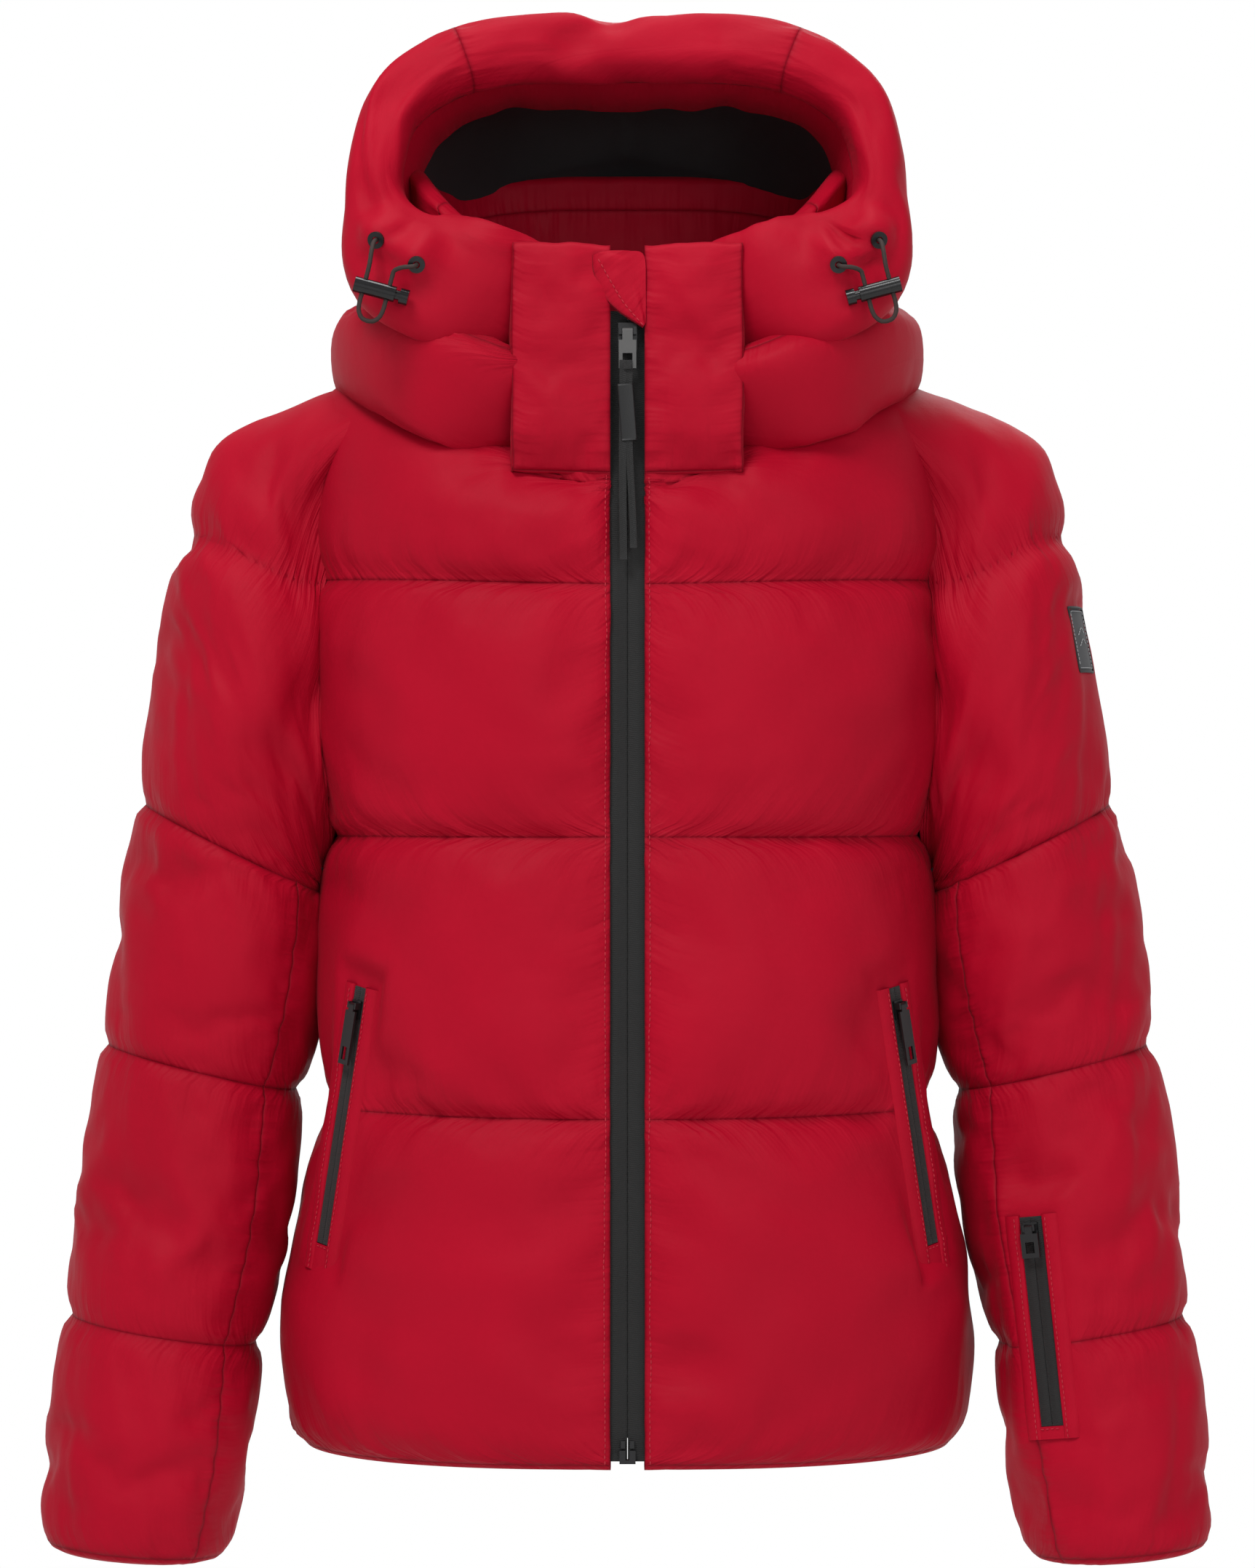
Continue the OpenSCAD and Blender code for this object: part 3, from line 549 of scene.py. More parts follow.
def sunk(g, axes, half, length, fade, way=1, deep=1.1):
    """Cloth drawn flat just behind a strip: half wide either side and length long."""
    foot, x, y, z = axes
    side = np.array([way, 1, 1])
    off = g * side - foot
    px, py, pz = off @ x, off @ y, off @ z
    beyond = np.maximum(np.maximum(np.abs(px) - half, 0),
                        np.maximum(np.maximum(-pz - 4, pz - length - 4), 0))
    near = (1 - smooth(beyond, 0, fade)) * (np.abs(py) < 40)
    return g + ((y * side) * ((deep - py) * near)[..., None])


def pressed(g, at, facing, reach=17.0):
    """The cloth drawn flat under a fitting that sits on it."""
    n = unit(facing)
    off = g - np.asarray(at, float)
    height = off @ n
    far = np.linalg.norm(off - height[..., None] * n, axis=-1)
    near = (1 - smooth(far, reach * 0.4, reach)) * (np.abs(height) < 24)
    return g - n * ((height + 0.2) * near)[..., None]


def crimp(g, wrap, rows, cols, seed, height=1.6, reach=20.0):
    """Small folds that run away from the seams of a fine grid."""
    u, v = lengths(g)
    from_rows, from_cols = to_nearest(v, rows, 0), to_nearest(u, cols, 1)
    folds = np.zeros(g.shape[:2])
    for d, s, size in ((from_rows, u, 1.0), (from_cols, v, 0.7)):
        wave = noise(s / 7.5 + 40 + 0.5 * noise(d / 12, s / 40, seed + 2), d / 40, seed)
        folds += size * wave * np.exp(-d / reach) * (1 - np.exp(-d / 3.5))
    soft = noise(u / 30 + 60, v / 26 + 60, seed + 5) * 0.9
    if wrap:
        ends = np.minimum(np.arange(g.shape[1]), g.shape[1] - 1 - np.arange(g.shape[1]))
        folds = folds * np.minimum(1, ends / 4)[None, :]
        soft = soft * np.minimum(1, ends / 6)[None, :]
    inland = 1 - np.exp(-np.minimum(from_rows, from_cols) / 10)
    return g + normals(g, wrap) * (height * (folds + soft * inland))[..., None]


# ---- Sleeves ----
# The raglan seam goes round the armhole on the body's surface, from the armpit up the back,
# over the shoulder and down the front
RAGLAN = [
    (160, 0, 313), (158, 22, 322), (157, 46, 348), (161, 60, 400), (164, 64, 465),
    (159, 66, 515), (141, 70, 552), (113, 64, 578), (97, 35, 591), (94, 5, 595),
    (98, -26, 588), (108, -52, 572), (128, -62, 550), (151, -54, 526), (165, -52, 498),
    (168, -56, 463), (165, -58, 424), (161, -50, 360), (159, -24, 321), (160, 0, 313)]
# Sleeve rings below the shoulder: inner (x, z), outer (x, z), middle y, half depth
ARM = [
    ((164, 308), (206, 546), 0, 68), ((164, 305), (227, 519), 0, 73),
    ((164, 302), (240, 487), 0, 74), ((165, 299), (255, 410), 0, 73),
    ((165.5, 296), (264, 345), -1, 68), ((171, 245), (273, 278), -3, 68),
    ((182, 189), (284, 214), -6, 61), ((191, 120), (292, 142), -14, 59),
    ((203, 52), (302, 68), -22, 57), ((210, 0), (307, 12), -31, 54),
    ((219, -60), (314, -52), -40, 48)]
SLEEVE_COLS = 56
UPPER_SEAM, ELBOW_SEAM, FOREARM_SEAM, CUFF = 5, 7, 9, 11
INNER_COL = {1: 49, -1: SLEEVE_COLS - 1 - 49}
ROW_STEP = 7.0


def sleeve_ring(r):
    inner = np.array([r[0][0], r[2], r[0][1]], float)
    outer = np.array([r[1][0], r[2], r[1][1]], float)
    a = np.radians(180 + np.arange(SLEEVE_COLS) * 360 / SLEEVE_COLS)[:, None]
    c, s = np.cos(a), np.sin(a)
    c, s = np.sign(c) * np.abs(c) ** 0.94, np.sign(s) * np.abs(s) ** 0.94
    return (inner + outer) / 2 + c * (outer - inner) / 2 - s * np.array([0, r[3], 0])


def nearest_on(cloud, p):
    d = np.linalg.norm(cloud - p, axis=1)
    near = np.argsort(d)[:4]
    w = 1 / (d[near] + 0.5)
    return (cloud[near] * w[:, None]).sum(0) / w.sum()


def sleeve_rows(body_surface):
    """Rows of the left sleeve from the raglan seam to the cuff, and where its seams are."""
    cloud = finer(body_surface).reshape(-1, 3)
    seam = even(spline(RAGLAN, np.linspace(0, 1, 400)), SLEEVE_COLS)[:-1]
    inward = unit(np.array([120.0, 0, 460]) - seam)
    seam = np.array([nearest_on(cloud, p) for p in seam]) + 3.0 * inward
    control = np.array([seam] + [sleeve_ring(r) for r in ARM])
    last = len(control) - 1
    u = np.linspace(0, last, 40 * last + 1)
    dense = np.stack([spline(control[:, j], u / last) for j in range(SLEEVE_COLS)], axis=1)
    rows, seams = [], [0]
    spans = [0, UPPER_SEAM, ELBOW_SEAM, FOREARM_SEAM, CUFF]
    for a, b in zip(spans, spans[1:]):
        part = dense[40 * a:40 * b + 1]
        s = arc(part[:, SLEEVE_COLS // 2])
        n = int(round(s[-1] / ROW_STEP))
        at = np.interp(np.linspace(0, s[-1], n + 1)[:-1], s, np.arange(len(s)))
        i = np.floor(at).astype(int)
        f = (at - i)[:, None, None]
        rows.append(part[i] * (1 - f) + part[np.minimum(i + 1, len(part) - 1)] * f)
        seams.append(seams[-1] + n)
    return np.concatenate(rows + [dense[-1:]]), seams


def shoulder_line(g, way, first_seam):
    """Distance of each point from the seam that crosses the cap at chest level."""
    level = 465 + 26 * smooth(g[:, :, 0] * way, 168, 236)
    cap = np.full(g.shape[:2], FAR)
    cap[:first_seam] = np.abs(g[:first_seam, :, 2] - level[:first_seam])
    return cap


def sew_sleeve(g, way, seams, seed):
    gap = np.linalg.norm(np.diff(g, axis=0), axis=2)
    gap = np.concatenate([gap, gap[-1:]])
    from_line = shoulder_line(g, way, seams[1])
    pin = np.maximum(sewn(g.shape[:2], seams), 1 - smooth(gap, 1.5, 2.6))
    pin = np.maximum(pin, bump(from_line, 3.6))
    pin[seams[1]:seams[4], INNER_COL[way]] = 0.8
    rise = (1 - bump(from_line, 16)) * smooth(gap, 1.5, 4.0)
    g = g + (pillows(g, True, seams, [], 5.0, seed) - g) * rise[..., None]
    return puff(g, pin, seed, pressure=2.2, grow=0.026, rest=1, wrap=True)


def turned_hem(g, reach, tuck):
    """Rows that turn a sleeve's last row inwards and back up inside it."""
    edge = g[-1]
    down = unit(edge.mean(0) - g[-9].mean(0))
    into = edge.mean(0) - edge
    into = unit(into - (into @ down)[:, None] * down)
    return np.array([edge + down * along + into * inside for along, inside in
                     ((2.2, 2.2), (3.2, 5.5), (1.5, 9.0), (-reach * 0.4, tuck),
                      (-reach, tuck))])


def on_arm(part, obj):
    """Puts a piece of the sleeve or its lining in place: the cap rides on the root body, and the
    others have their transform baked into the mesh.
    """
    if part == "cap":
        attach(obj, ROOT)
    elif part == "upper":
        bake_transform(obj)
    else:
        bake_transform(obj)


def dress_sleeve(side, way, cloth, seams):
    _, s1, s2, s3, s4 = [2 * s for s in seams]
    fine = finer(cloth, wrap=True)
    inner = 2 * INNER_COL[way]
    from_line = shoulder_line(fine, way, s1)
    fine = fine - normals(fine, True) * (1.9 * bump(from_line, 8))[..., None]
    fine = crimp(fine, True, [0, s1, s2, s3, s4], [inner], 100 + (way > 0), 0.9, 16)
    if side == "left":
        fine = sunk(fine, SLEEVE_ZIP, 15.5, SLEEVE_ZIP_LENGTH, 16)
        fine = pressed(fine, LABEL_AT, (0.9, -0.36, 0.17), 34)
    lower = np.concatenate([fine[s2:], turned_hem(fine, 24, 11)])
    for part, g, rows in (("cap", fine[:s1 + 1], [0, s1]),
                          ("upper", fine[s1:s2 + 1], [0, s2 - s1]),
                          ("lower", lower, [0, s3 - s2, s4 - s2])):
        cap = part == "cap"
        obj = grid_object(f"sleeve_{part}_cloth_{side}", g, shell_red, wrap=True, rows=rows,
                          cols=[] if cap else [inner],
                          extra=from_line[:s1 + 1] if cap else None)
        placed(obj, body=None)
        on_arm(part, obj)
        if not cap:
            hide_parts(f"sleeve_{part}_{side}", f"sleeve_padding_{part}_{side}")
        elif side == "left":
            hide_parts("sleeve_caps", "sleeve_cap_padding")


def dress_sleeve_lining(side, cloth, seams):
    """The sleeve's lining, a smoother tube inside the padding."""
    inner = cloth - normals(cloth, True) * 13
    for _ in range(3):
        inner = (np.roll(inner, 1, 1) + inner * 2 + np.roll(inner, -1, 1)) / 4
        inner[1:-1] = (inner[:-2] + inner[1:-1] * 2 + inner[2:]) / 4
    inner = inner[:, ::-1]
    for part, a, b in (("cap", 2, seams[1]), ("upper", seams[1], seams[2]),
                       ("lower", seams[2], seams[4] - 2)):
        obj = grid_object(f"sleeve_lining_{part}_{side}", inner[a:b + 1], lining_black,
                          wrap=True)
        on_arm(part, obj)
        if part != "cap":
            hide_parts(f"sleeve_lining_{part}_{side}")


sleeve, sleeve_seams = sleeve_rows(body_cloth)
for (side, way), seed in zip(SIDES, (11, 23)):
    cut = sleeve if side == "left" else mirrored(sleeve)
    cloth = sew_sleeve(cut, way, sleeve_seams, seed)
    dress_sleeve(side, way, cloth, sleeve_seams)
    dress_sleeve_lining(side, cloth, sleeve_seams)

# ---- Hood ----
def both_sides(half):
    """The points of a half path, from the left end over the middle to the right end."""
    half = [tuple(float(c) for c in p) for p in half]
    return half + [(-p[0],) + p[1:] for p in half[-2::-1]]


# Padded rim round the face: its middle line from beside the collar to the top, and half its
# width and thickness
RIM = both_sides([(42, -98, 612, 28, 9), (66, -107, 615, 34, 12), (92, -114, 621, 37, 17),
                  (119, -106, 634, 33, 19), (132, -97, 662, 16, 21), (131, -91, 692, 13, 20),
                  (119, -82, 723, 15, 19), (78, -75, 746, 17, 18), (0, -73, 750, 17, 18)])
RIM_CENTRE, RIM_STEPS, RIM_SEAMS_AT = (0, -95, 680), 84, (0.43, 0.57)
RIM_BACK, RIM_INNER = 5, 10
# Lower roll round the neck: its middle line, and half its thickness and height
BAND = both_sides([(42, -98, 553, 8, 31), (68, -106, 558, 13, 32), (98, -105, 568, 19, 32),
                   (129, -62, 584, 20, 31), (140, 0, 590, 19, 29), (129, 60, 598, 19, 27),
                   (82, 102, 606, 18, 25), (0, 121, 612, 18, 25)])
BAND_CENTRE, BAND_STEPS = (0, 0, 600), 104
BAND_TOP, BAND_BOTTOM, BAND_INSIDE = 18, 7, 12
TUBE_COLS = 24


def tube(path, centre, n, power):
    """Rings round a path of points with their half width and thickness, and each ring's place
    from 0 to 1; power below 1 makes the rings squarer."""
    dense = spline(path, np.linspace(0, 1, 300))
    s = arc(dense[:, :3])
    u = np.interp(np.linspace(0, s[-1], n + 1), s, np.linspace(0, 1, 300))
    full = spline(path, u)
    p, size = full[:, :3], full[:, 3:5]
    along = unit(np.gradient(p, axis=0))
    out = p - np.asarray(centre, float)
    out = unit(out - (out * along).sum(1, keepdims=True) * along)
    a = np.radians(np.arange(TUBE_COLS) * 360 / TUBE_COLS)
    c, s = np.cos(a), np.sin(a)
    c, s = np.sign(c) * np.abs(c) ** power, np.sign(s) * np.abs(s) ** power
    g = (p[:, None] + size[:, :1, None] * c[None, :, None] * out[:, None]
         + size[:, 1:, None] * s[None, :, None] * np.cross(along, out)[:, None])
    return g, u


rim, rim_u = tube(RIM, RIM_CENTRE, RIM_STEPS, 0.76)
rim_cross = [int(np.argmin(np.abs(rim_u - u))) for u in RIM_SEAMS_AT]
rim_cloth = puff(rim, sewn(rim.shape[:2], [0, -1] + rim_cross, [RIM_BACK, RIM_INNER]), 31,
                 grow=0.022, wrap=True)
band, _ = tube(BAND, BAND_CENTRE, BAND_STEPS, 0.62)
band_cloth = puff(band, sewn(band.shape[:2], [0, -1, BAND_STEPS // 2],
                             [BAND_TOP, BAND_BOTTOM, BAND_INSIDE]), 37, grow=0.022, wrap=True)

# The hood's shell from its front edge (fan 0) over the head to the nape (fan 1). Each list
# runs from the middle of the head to the side.
SHELL_FRONT = [(0, -48, 764), (66, -50, 757), (110, -54, 736), (133, -62, 700),
               (143, -70, 664)]
SHELL_BACK = [(0, 134, 636), (68, 117, 632), (118, 70, 626), (144, 5, 616), (148, -44, 612)]
SHELL_CORE = [(0, -16, 612), (55, -22, 614), (94, -34, 618), (126, -54, 626),
              (139, -64, 640)]
SHELL_COLS, SHELL_ROWS, SHELL_SEAM = 56, 44, 0.36
SHELL_DEEP, LINING_DEEP = 6, 17


def shell_grid(deep, fans, sides):
    """The hood's dome, drawn in by deep; sides run from -1 on the right to 1 on the left."""
    u = np.abs(sides)
    core, front, back = (spline(line, u) for line in (SHELL_CORE, SHELL_FRONT, SHELL_BACK))
    centre = np.stack([u * 0, u * 0 - 30, 600 + 40 * (1 - u)], -1)
    rows = []
    for fan in fans:
        a = fan * math.pi / 2
        p = (core + math.cos(a) ** 0.8 * (front - core) + math.sin(a) ** 0.8 * (back - core))
        p = p - deep * unit(p - centre)
        p[:, 0] *= np.where(sides < 0, -1, 1)
        rows.append(p)
    return np.array(rows)


def snapped(g, row, line, share):
    """The grid with one end row moved onto a seam line; share is how far each row follows."""
    dense = spline(line, np.linspace(0, 1, 600))
    to = np.array([dense[np.argmin(np.linalg.norm(dense - p, axis=1))] for p in g[row]])
    return g + (to - g[row])[None] * share[:, None, None]


fan = np.linspace(0, 1, SHELL_ROWS + 1)
shell_sides = np.linspace(-1, 1, SHELL_COLS + 1)
shell_cols = [0] + [int(np.argmin(np.abs(shell_sides - s))) for s in (-SHELL_SEAM, SHELL_SEAM)]
shell_cols.append(SHELL_COLS)
rim_seam = rim_cloth[:, RIM_BACK]
shell = shell_grid(SHELL_DEEP, fan, shell_sides)
shell = snapped(shell, 0, rim_seam, 1 - smooth(fan, 0, 0.3))
shell = snapped(shell, -1, band_cloth[:, BAND_TOP], smooth(fan, 0.75, 1))
# Its side edges run down the back of the rim to the lower roll
for way, edge in ((1, -1), (-1, 0)):
    top, low = (int(np.argmin(np.linalg.norm(rim_seam - at, axis=1)))
                for at in (shell[0, edge], (112.0 * way, -92, 616)))
    stretch = rim_seam[top:low + 1] if low > top else rim_seam[low:top + 1][::-1]
    move = even(stretch, SHELL_ROWS) - shell[:, edge]
    reach = 1 - smooth(np.abs(shell_sides - way), 0, 0.34)
    shell = shell + move[:, None] * reach[None, :, None]
shell_cloth = puff(pillows(shell, False, [0, SHELL_ROWS], shell_cols, 5.0, 43),
                   sewn(shell.shape[:2], [0, -1], shell_cols), 41)

EYELETS = [((131.6, -129, 641.5), (10, -25.5, -8)), ((110.2, -138.8, 627.7), (1, -27.5, -10))]
for _, way in SIDES:
    for at, facing in EYELETS:
        rim_cloth = pressed(rim_cloth, np.array(at) * (way, 1, 1),
                            np.array(facing) * (way, 1, 1))


def twice(lines):
    """Numbers of the same grid lines after the grid is made finer."""
    return [2 * i for i in lines]


def dressed(name, cloth, wrap, rows, cols, seed, instead_of, height=1.6, seams=()):
    """A red cloth piece with small folds; seams are rows that show but don't gather."""
    fine = crimp(finer(cloth, wrap), wrap, twice(rows), twice(cols), seed, height)
    obj = grid_object(name, fine, shell_red, wrap=wrap, rows=twice(rows) + twice(seams),
                      cols=twice(cols))
    return placed(obj, body=None, instead_of=instead_of), fine


hood_rim, rim_fine = dressed(
    "hood_rim_cloth", rim_cloth, True, [0, RIM_STEPS] + rim_cross, [RIM_BACK, RIM_INNER], 131,
    ["hood_rim_sides", "hood_rim_top"], 1.3)
hood_band, _ = dressed(
    "hood_band_cloth", band_cloth, True, [0, BAND_STEPS], [BAND_TOP, BAND_BOTTOM], 137,
    ["hood_band"], 1.3, seams=[BAND_STEPS // 2])
hood_shell, _ = dressed(
    "hood_shell_cloth", shell_cloth, False, [0, SHELL_ROWS], shell_cols, 141,
    ["hood_centre_panel", "hood_side_panels", "hood_padding", "hood_nape"])
hood_inside = grid_object("hood_lining_cloth", shell_grid(LINING_DEEP, np.linspace(0, 1, 40),
                                                          shell_sides[::-1]), lining_black)
placed(hood_inside, None, instead_of=["hood_lining"])
# Red facing inside the rim, which slopes back to the lining and ends above the collar
FACING_DEPTH = np.array([0, 46.0, 0])
facing_edge = rim_fine[:, 2 * RIM_INNER][::-1]
facing_in = unit(np.array([0, -30, 660.0]) - facing_edge)
facing_reach = smooth(facing_edge[:, 2:], 632, 690)
facing_rows = np.array([facing_edge + facing_reach * (
    FACING_DEPTH * t + facing_in * (9 * math.sin(t * math.pi / 2) + 2 * t))
    - facing_in * 2 for t in np.linspace(0.02, 1, 10)])
wrinkle = noise(np.arange(len(facing_edge)) / 5.0, 0, 5)
facing_rows += (facing_reach * facing_in * (wrinkle * 1.6)[:, None])[None] * (
    np.linspace(0, 1, 10)[:, None, None])
hood_facing = grid_object("hood_facing", finer(facing_rows), shell_red, rows=[0, 18])
placed(hood_facing, body=None)
for piece in (hood_rim, hood_facing, hood_shell, hood_inside):
    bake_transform(piece)
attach(hood_band, ROOT)

# ---- Collar ----
# Rings from the neck seam to the top edge: height at front, side, back, half width, back
# depth, squareness, lateness
COLLAR = [(514, 586, 596, 86, 92, 0.8, 3), (545, 606, 622, 88, 92, 0.74, 3),
          (590, 640, 660, 104, 94, 0.66, 3), (634, 688, 697, 121, 93, 0.55, 2)]
COLLAR_COLS = [(1, 46, 12), (46, 180, 36), (180, 314, 36), (314, 359, 12)]
COLLAR_THICK, COLLAR_ROWS, COLLAR_TURN_ROWS = 11, 18, 3


def collar_grid(shrink):
    rows = []
    for r in spline(COLLAR, np.linspace(0, 1, COLLAR_ROWS + 1)):
        ring = ring_row(r - shrink * np.array([0, 0, 0, 1, 1, 0, 0]), COLLAR_COLS)
        ring[:, 1] += np.where(ring[:, 1] < 0, shrink, 0) * smooth(-ring[:, 1], 0, 60)
        rows.append(ring)
    return np.array(rows)


collar_joins = steps_of(COLLAR_COLS)
collar_seams = [0, collar_joins[1], collar_joins[3], collar_joins[-1]]
collar_outer, collar_inner = collar_grid(0), collar_grid(COLLAR_THICK)[:, ::-1]
collar_outer = puff(collar_outer, sewn(collar_outer.shape[:2], [0, -1], collar_seams), 51,
                    pressure=1.6, grow=0.025, cap=7, rest=1)
collar_inner = puff(collar_inner, sewn(collar_inner.shape[:2], [0, -1, -3], [0, -1]), 53,
                    pressure=1.2, grow=0.025, cap=5, rest=1)[::-1, ::-1]
collar_turn = [collar_outer[-1] * (1 - t) + collar_inner[0] * t
               + np.array([0, 0, 3.5]) * math.sin(t * math.pi)
               for t in np.linspace(0, 1, COLLAR_TURN_ROWS + 2)[1:-1]]
collar_fine = finer(np.concatenate([collar_outer, collar_turn, collar_inner]))
collar = grid_object("collar_cloth", collar_fine, shell_red,
                     rows=[0, 2 * COLLAR_ROWS + 14, len(collar_fine) - 1],
                     cols=twice(collar_seams))
placed(collar, instead_of=["collar_fronts", "collar_back"])

# ---- Body, dressed ----
body_fine = crimp(finer(body_cloth), False, twice(body_seams), [0, 2 * body_joins[-1]], 151)
for _, way in SIDES:
    body_fine = sunk(body_fine, POCKET_ZIP, 14, POCKET_ZIP_LENGTH, 15, way)
# Drawn flat along the foot of the collar flaps, but not beside the zip
body_x, body_y, body_z = (body_fine[:, :, k] for k in range(3))
flat = bump(body_z - 519, 13) * (1 - smooth(np.abs(body_x), 52, 70))
body_y += 5.5 * flat * (body_y < 0) * smooth(np.abs(body_x), STRIP_HALF, 26)
hem_into = -normals(body_fine[:4])[0]
hem_into[:, 2] = 0
hem_into = unit(hem_into)
HEM_TURN = [(26, 10), (12, 10), (-1.5, 8.5), (-3.0, 5.5), (-2.2, 2.0)]
hem_rows = np.array([body_fine[0] + (0, 0, up) + hem_into * inside for up, inside in HEM_TURN])
torso = grid_object("body_cloth", np.concatenate([hem_rows, body_fine]), shell_red,
                    rows=[2 * s + len(HEM_TURN) for s in body_seams], cols=twice(side_joins))
placed(torso, instead_of=[
    "front_panel_left", "front_panel_right", "side_panels", "back_panel", "padding_fronts",
    "padding_sides", "padding_back"])
lining = body_cloth - normals(body_cloth) * 12.5
for _ in range(4):
    lining[1:-1] = (lining[:-2] + 2 * lining[1:-1] + lining[2:]) / 4
    lining[:, 1:-1] = (lining[:, :-2] + 2 * lining[:, 1:-1] + lining[:, 2:]) / 4
placed(grid_object("body_lining_cloth", lining[2:, ::-1], lining_black),
       instead_of=["body_lining"])

# ---- Collar flaps ----
# Padded fronts of the collar, which lie over the hood's ends and stop at a straight edge
FLAP_EDGE, FLAP_FOOT, FLAP_TOP = 59.0, 520.0, 637.0
FLAP_COLS, FLAP_ROWS = 12, 21
# Rows or columns that turn the flap's edges inwards, as steps from the edge
FLAP_SIDE = [(0.3, 3.0, 0), (-0.5, 9.0, 0), (-14.0, 12.0, 0)]
FLAP_OVER = [(0, 2.0, 2.2), (0, 7.0, 2.6), (0, 12.0, -6.0)]
FLAP_UNDER = [(0, 6.0, 2.0), (0, 2.6, -1.2)]


def flap_grid():
    xs = np.append(np.linspace(STRIP_HALF, FLAP_EDGE, FLAP_COLS), FLAP_EDGE + 1.5)
    cloud = body_fine[-60:].reshape(-1, 3)
    foot = np.array([nearest_on(cloud, (x, front_y(FLAP_FOOT) - 4, FLAP_FOOT))[1] - 0.6
                     for x in xs])
    rows = []
    for z in np.linspace(FLAP_FOOT, FLAP_TOP, FLAP_ROWS + 1):
        y = front_y(z) - 5.5 - 4.5 * smooth(xs, STRIP_HALF, 40) + 0.0008 * (xs - 9) ** 2
        y = y + (foot - y) * (1 - smooth(z, FLAP_FOOT - 4, FLAP_FOOT + 22))
        rows.append(np.stack([xs, y, z + 0 * xs + (xs - 9) * 0.03], -1))
    return np.array(rows)


for (side, way), seed in zip(SIDES, (61, 67)):
    flap = flap_grid() if way > 0 else mirrored(flap_grid())
    flap = puff(flap, sewn(flap.shape[:2], [0, -1], [0, -1]), seed, pressure=2.4, grow=0.03,
                cap=10, rest=1)
    edge = flap[:, -1:] if way > 0 else flap[:, :1]
    turn = [edge + np.array(step) * (way, 1, 1) for step in FLAP_SIDE]
    flap = np.concatenate([flap] + turn if way > 0 else turn[::-1] + [flap], axis=1)
    flap = np.concatenate([flap[:1] + step for step in FLAP_UNDER] + [flap]
                          + [flap[-1:] + step for step in FLAP_OVER])
    flap = finer(flap)
    last = flap.shape[1] - 1
    zip_edge, outer_edge = (0, 2 * FLAP_COLS) if way > 0 else (last, last - 2 * FLAP_COLS)
    foot_row = 2 * len(FLAP_UNDER)
    flap = crimp(flap, False, [foot_row, foot_row + 2 * FLAP_ROWS], [zip_edge], seed + 3, 1.0, 14)
    placed(grid_object("collar_flap_" + side, flap, shell_red, rows=[foot_row],
                       cols=[zip_edge, outer_edge]))

# ---- Drawcords ----
# Route of the left drawcord in its cord lock's frame, as in the CAD
LOCK_AT, LOCK_TILT = np.array([130.0, -140, 614]), math.radians(15)
CORD_ROUTE = [
    (-15.4, 1, 18.4), (-15.6, -0.5, 17.6), (-14, -2.2, 16.3), (-9, -2, 14.5),
    (-5.4, -0.5, 12), (-5, 0, 9), (-5, 0, 3), (-5, 0, -3), (-5, 0, -9), (-4, 0, -13.5),
    (-1, 0, -16.6), (4, 0, -16.6), (7, 0, -13.5), (8, 0, -9), (8, 0, -3), (8, 0, 3),
    (8, 0, 9), (8.2, 0.2, 13), (9, 2, 19), (9.4, 6, 24), (8.6, 11, 26.4)]
CORD_RADIUS, CORD_POINTS, CORD_SIDES = 1.2, 121, 12


def round_tube(path, radius, sides):
    path_along = unit(np.gradient(path, axis=0))
    e = np.cross(path_along[0], [0.3, 1, 0.2])
    a = np.arange(sides)[:, None] * math.tau / sides
    rings = []
    for p, along in zip(path, path_along):
        e = unit(e - (e @ along) * along)
        rings.append(p + radius * (np.cos(a) * e + np.sin(a) * np.cross(along, e)))
    return np.array(rings)


def cord_route(way):
    x, y, z = spline(CORD_ROUTE, np.linspace(0, 1, CORD_POINTS)).T
    c, s = math.cos(LOCK_TILT), math.sin(LOCK_TILT)
    return (LOCK_AT + np.stack([x * c - z * s, y, x * s + z * c], -1)) * (way, 1, 1)


for side, way in SIDES:
    route = cord_route(way)
    turns = np.arange(CORD_SIDES)[None, :] * math.tau / (CORD_SIDES / 2)
    braid = 0.05 * np.sin(np.arange(CORD_POINTS)[:, None] * 1.9 + turns)
    centre = route[:, None, :]
    skin = centre + (round_tube(route, CORD_RADIUS, CORD_SIDES) - centre) * (1 + braid)[..., None]
    last_ring = (CORD_POINTS - 1) * CORD_SIDES
    faces = grid_faces(CORD_POINTS, CORD_SIDES, True)[:, ::-1].tolist()
    faces += [range(CORD_SIDES), range(last_ring + CORD_SIDES - 1, last_ring - 1, -1)]
    cord = new_object("drawcord_cloth_" + side, skin.reshape(-1, 3), faces, cord_black)
    placed(cord, instead_of=["drawcord_" + side])

# ---- Stitching, straps and trim ----
def stitches(name, lines, body=ROOT, material=thread_red, pitch=3.1, length=2.3, radius=0.3):
    """Rows of thread stitches along polylines, each a small six-sided lozenge."""
    verts, faces = [], []
    a = np.arange(6)[:, None] * math.tau / 6
    for line in lines:
        s = arc(line)
        for at in np.arange(pitch / 2, s[-1] - pitch / 2, pitch):
            start, end = (np.array([np.interp(at + d, s, line[:, k]) for k in range(3)])
                          for d in (-length / 2, length / 2))
            along = unit(end - start)
            e = unit(np.cross(along, [0.31, 0.2, 0.93]))
            round_it = radius * (np.cos(a) * e + np.sin(a) * np.cross(along, e))
            base = len(verts)
            verts += [start, *(start * 0.75 + end * 0.25 + round_it),
                      *(start * 0.25 + end * 0.75 + round_it), end]
            for k in range(6):
                n = (k + 1) % 6
                faces += [(base, base + 1 + n, base + 1 + k),
                          (base + 1 + k, base + 1 + n, base + 7 + n, base + 7 + k),
                          (base + 7 + k, base + 7 + n, base + 13)]
    return placed(new_object(name, np.array(verts), faces, material), body)


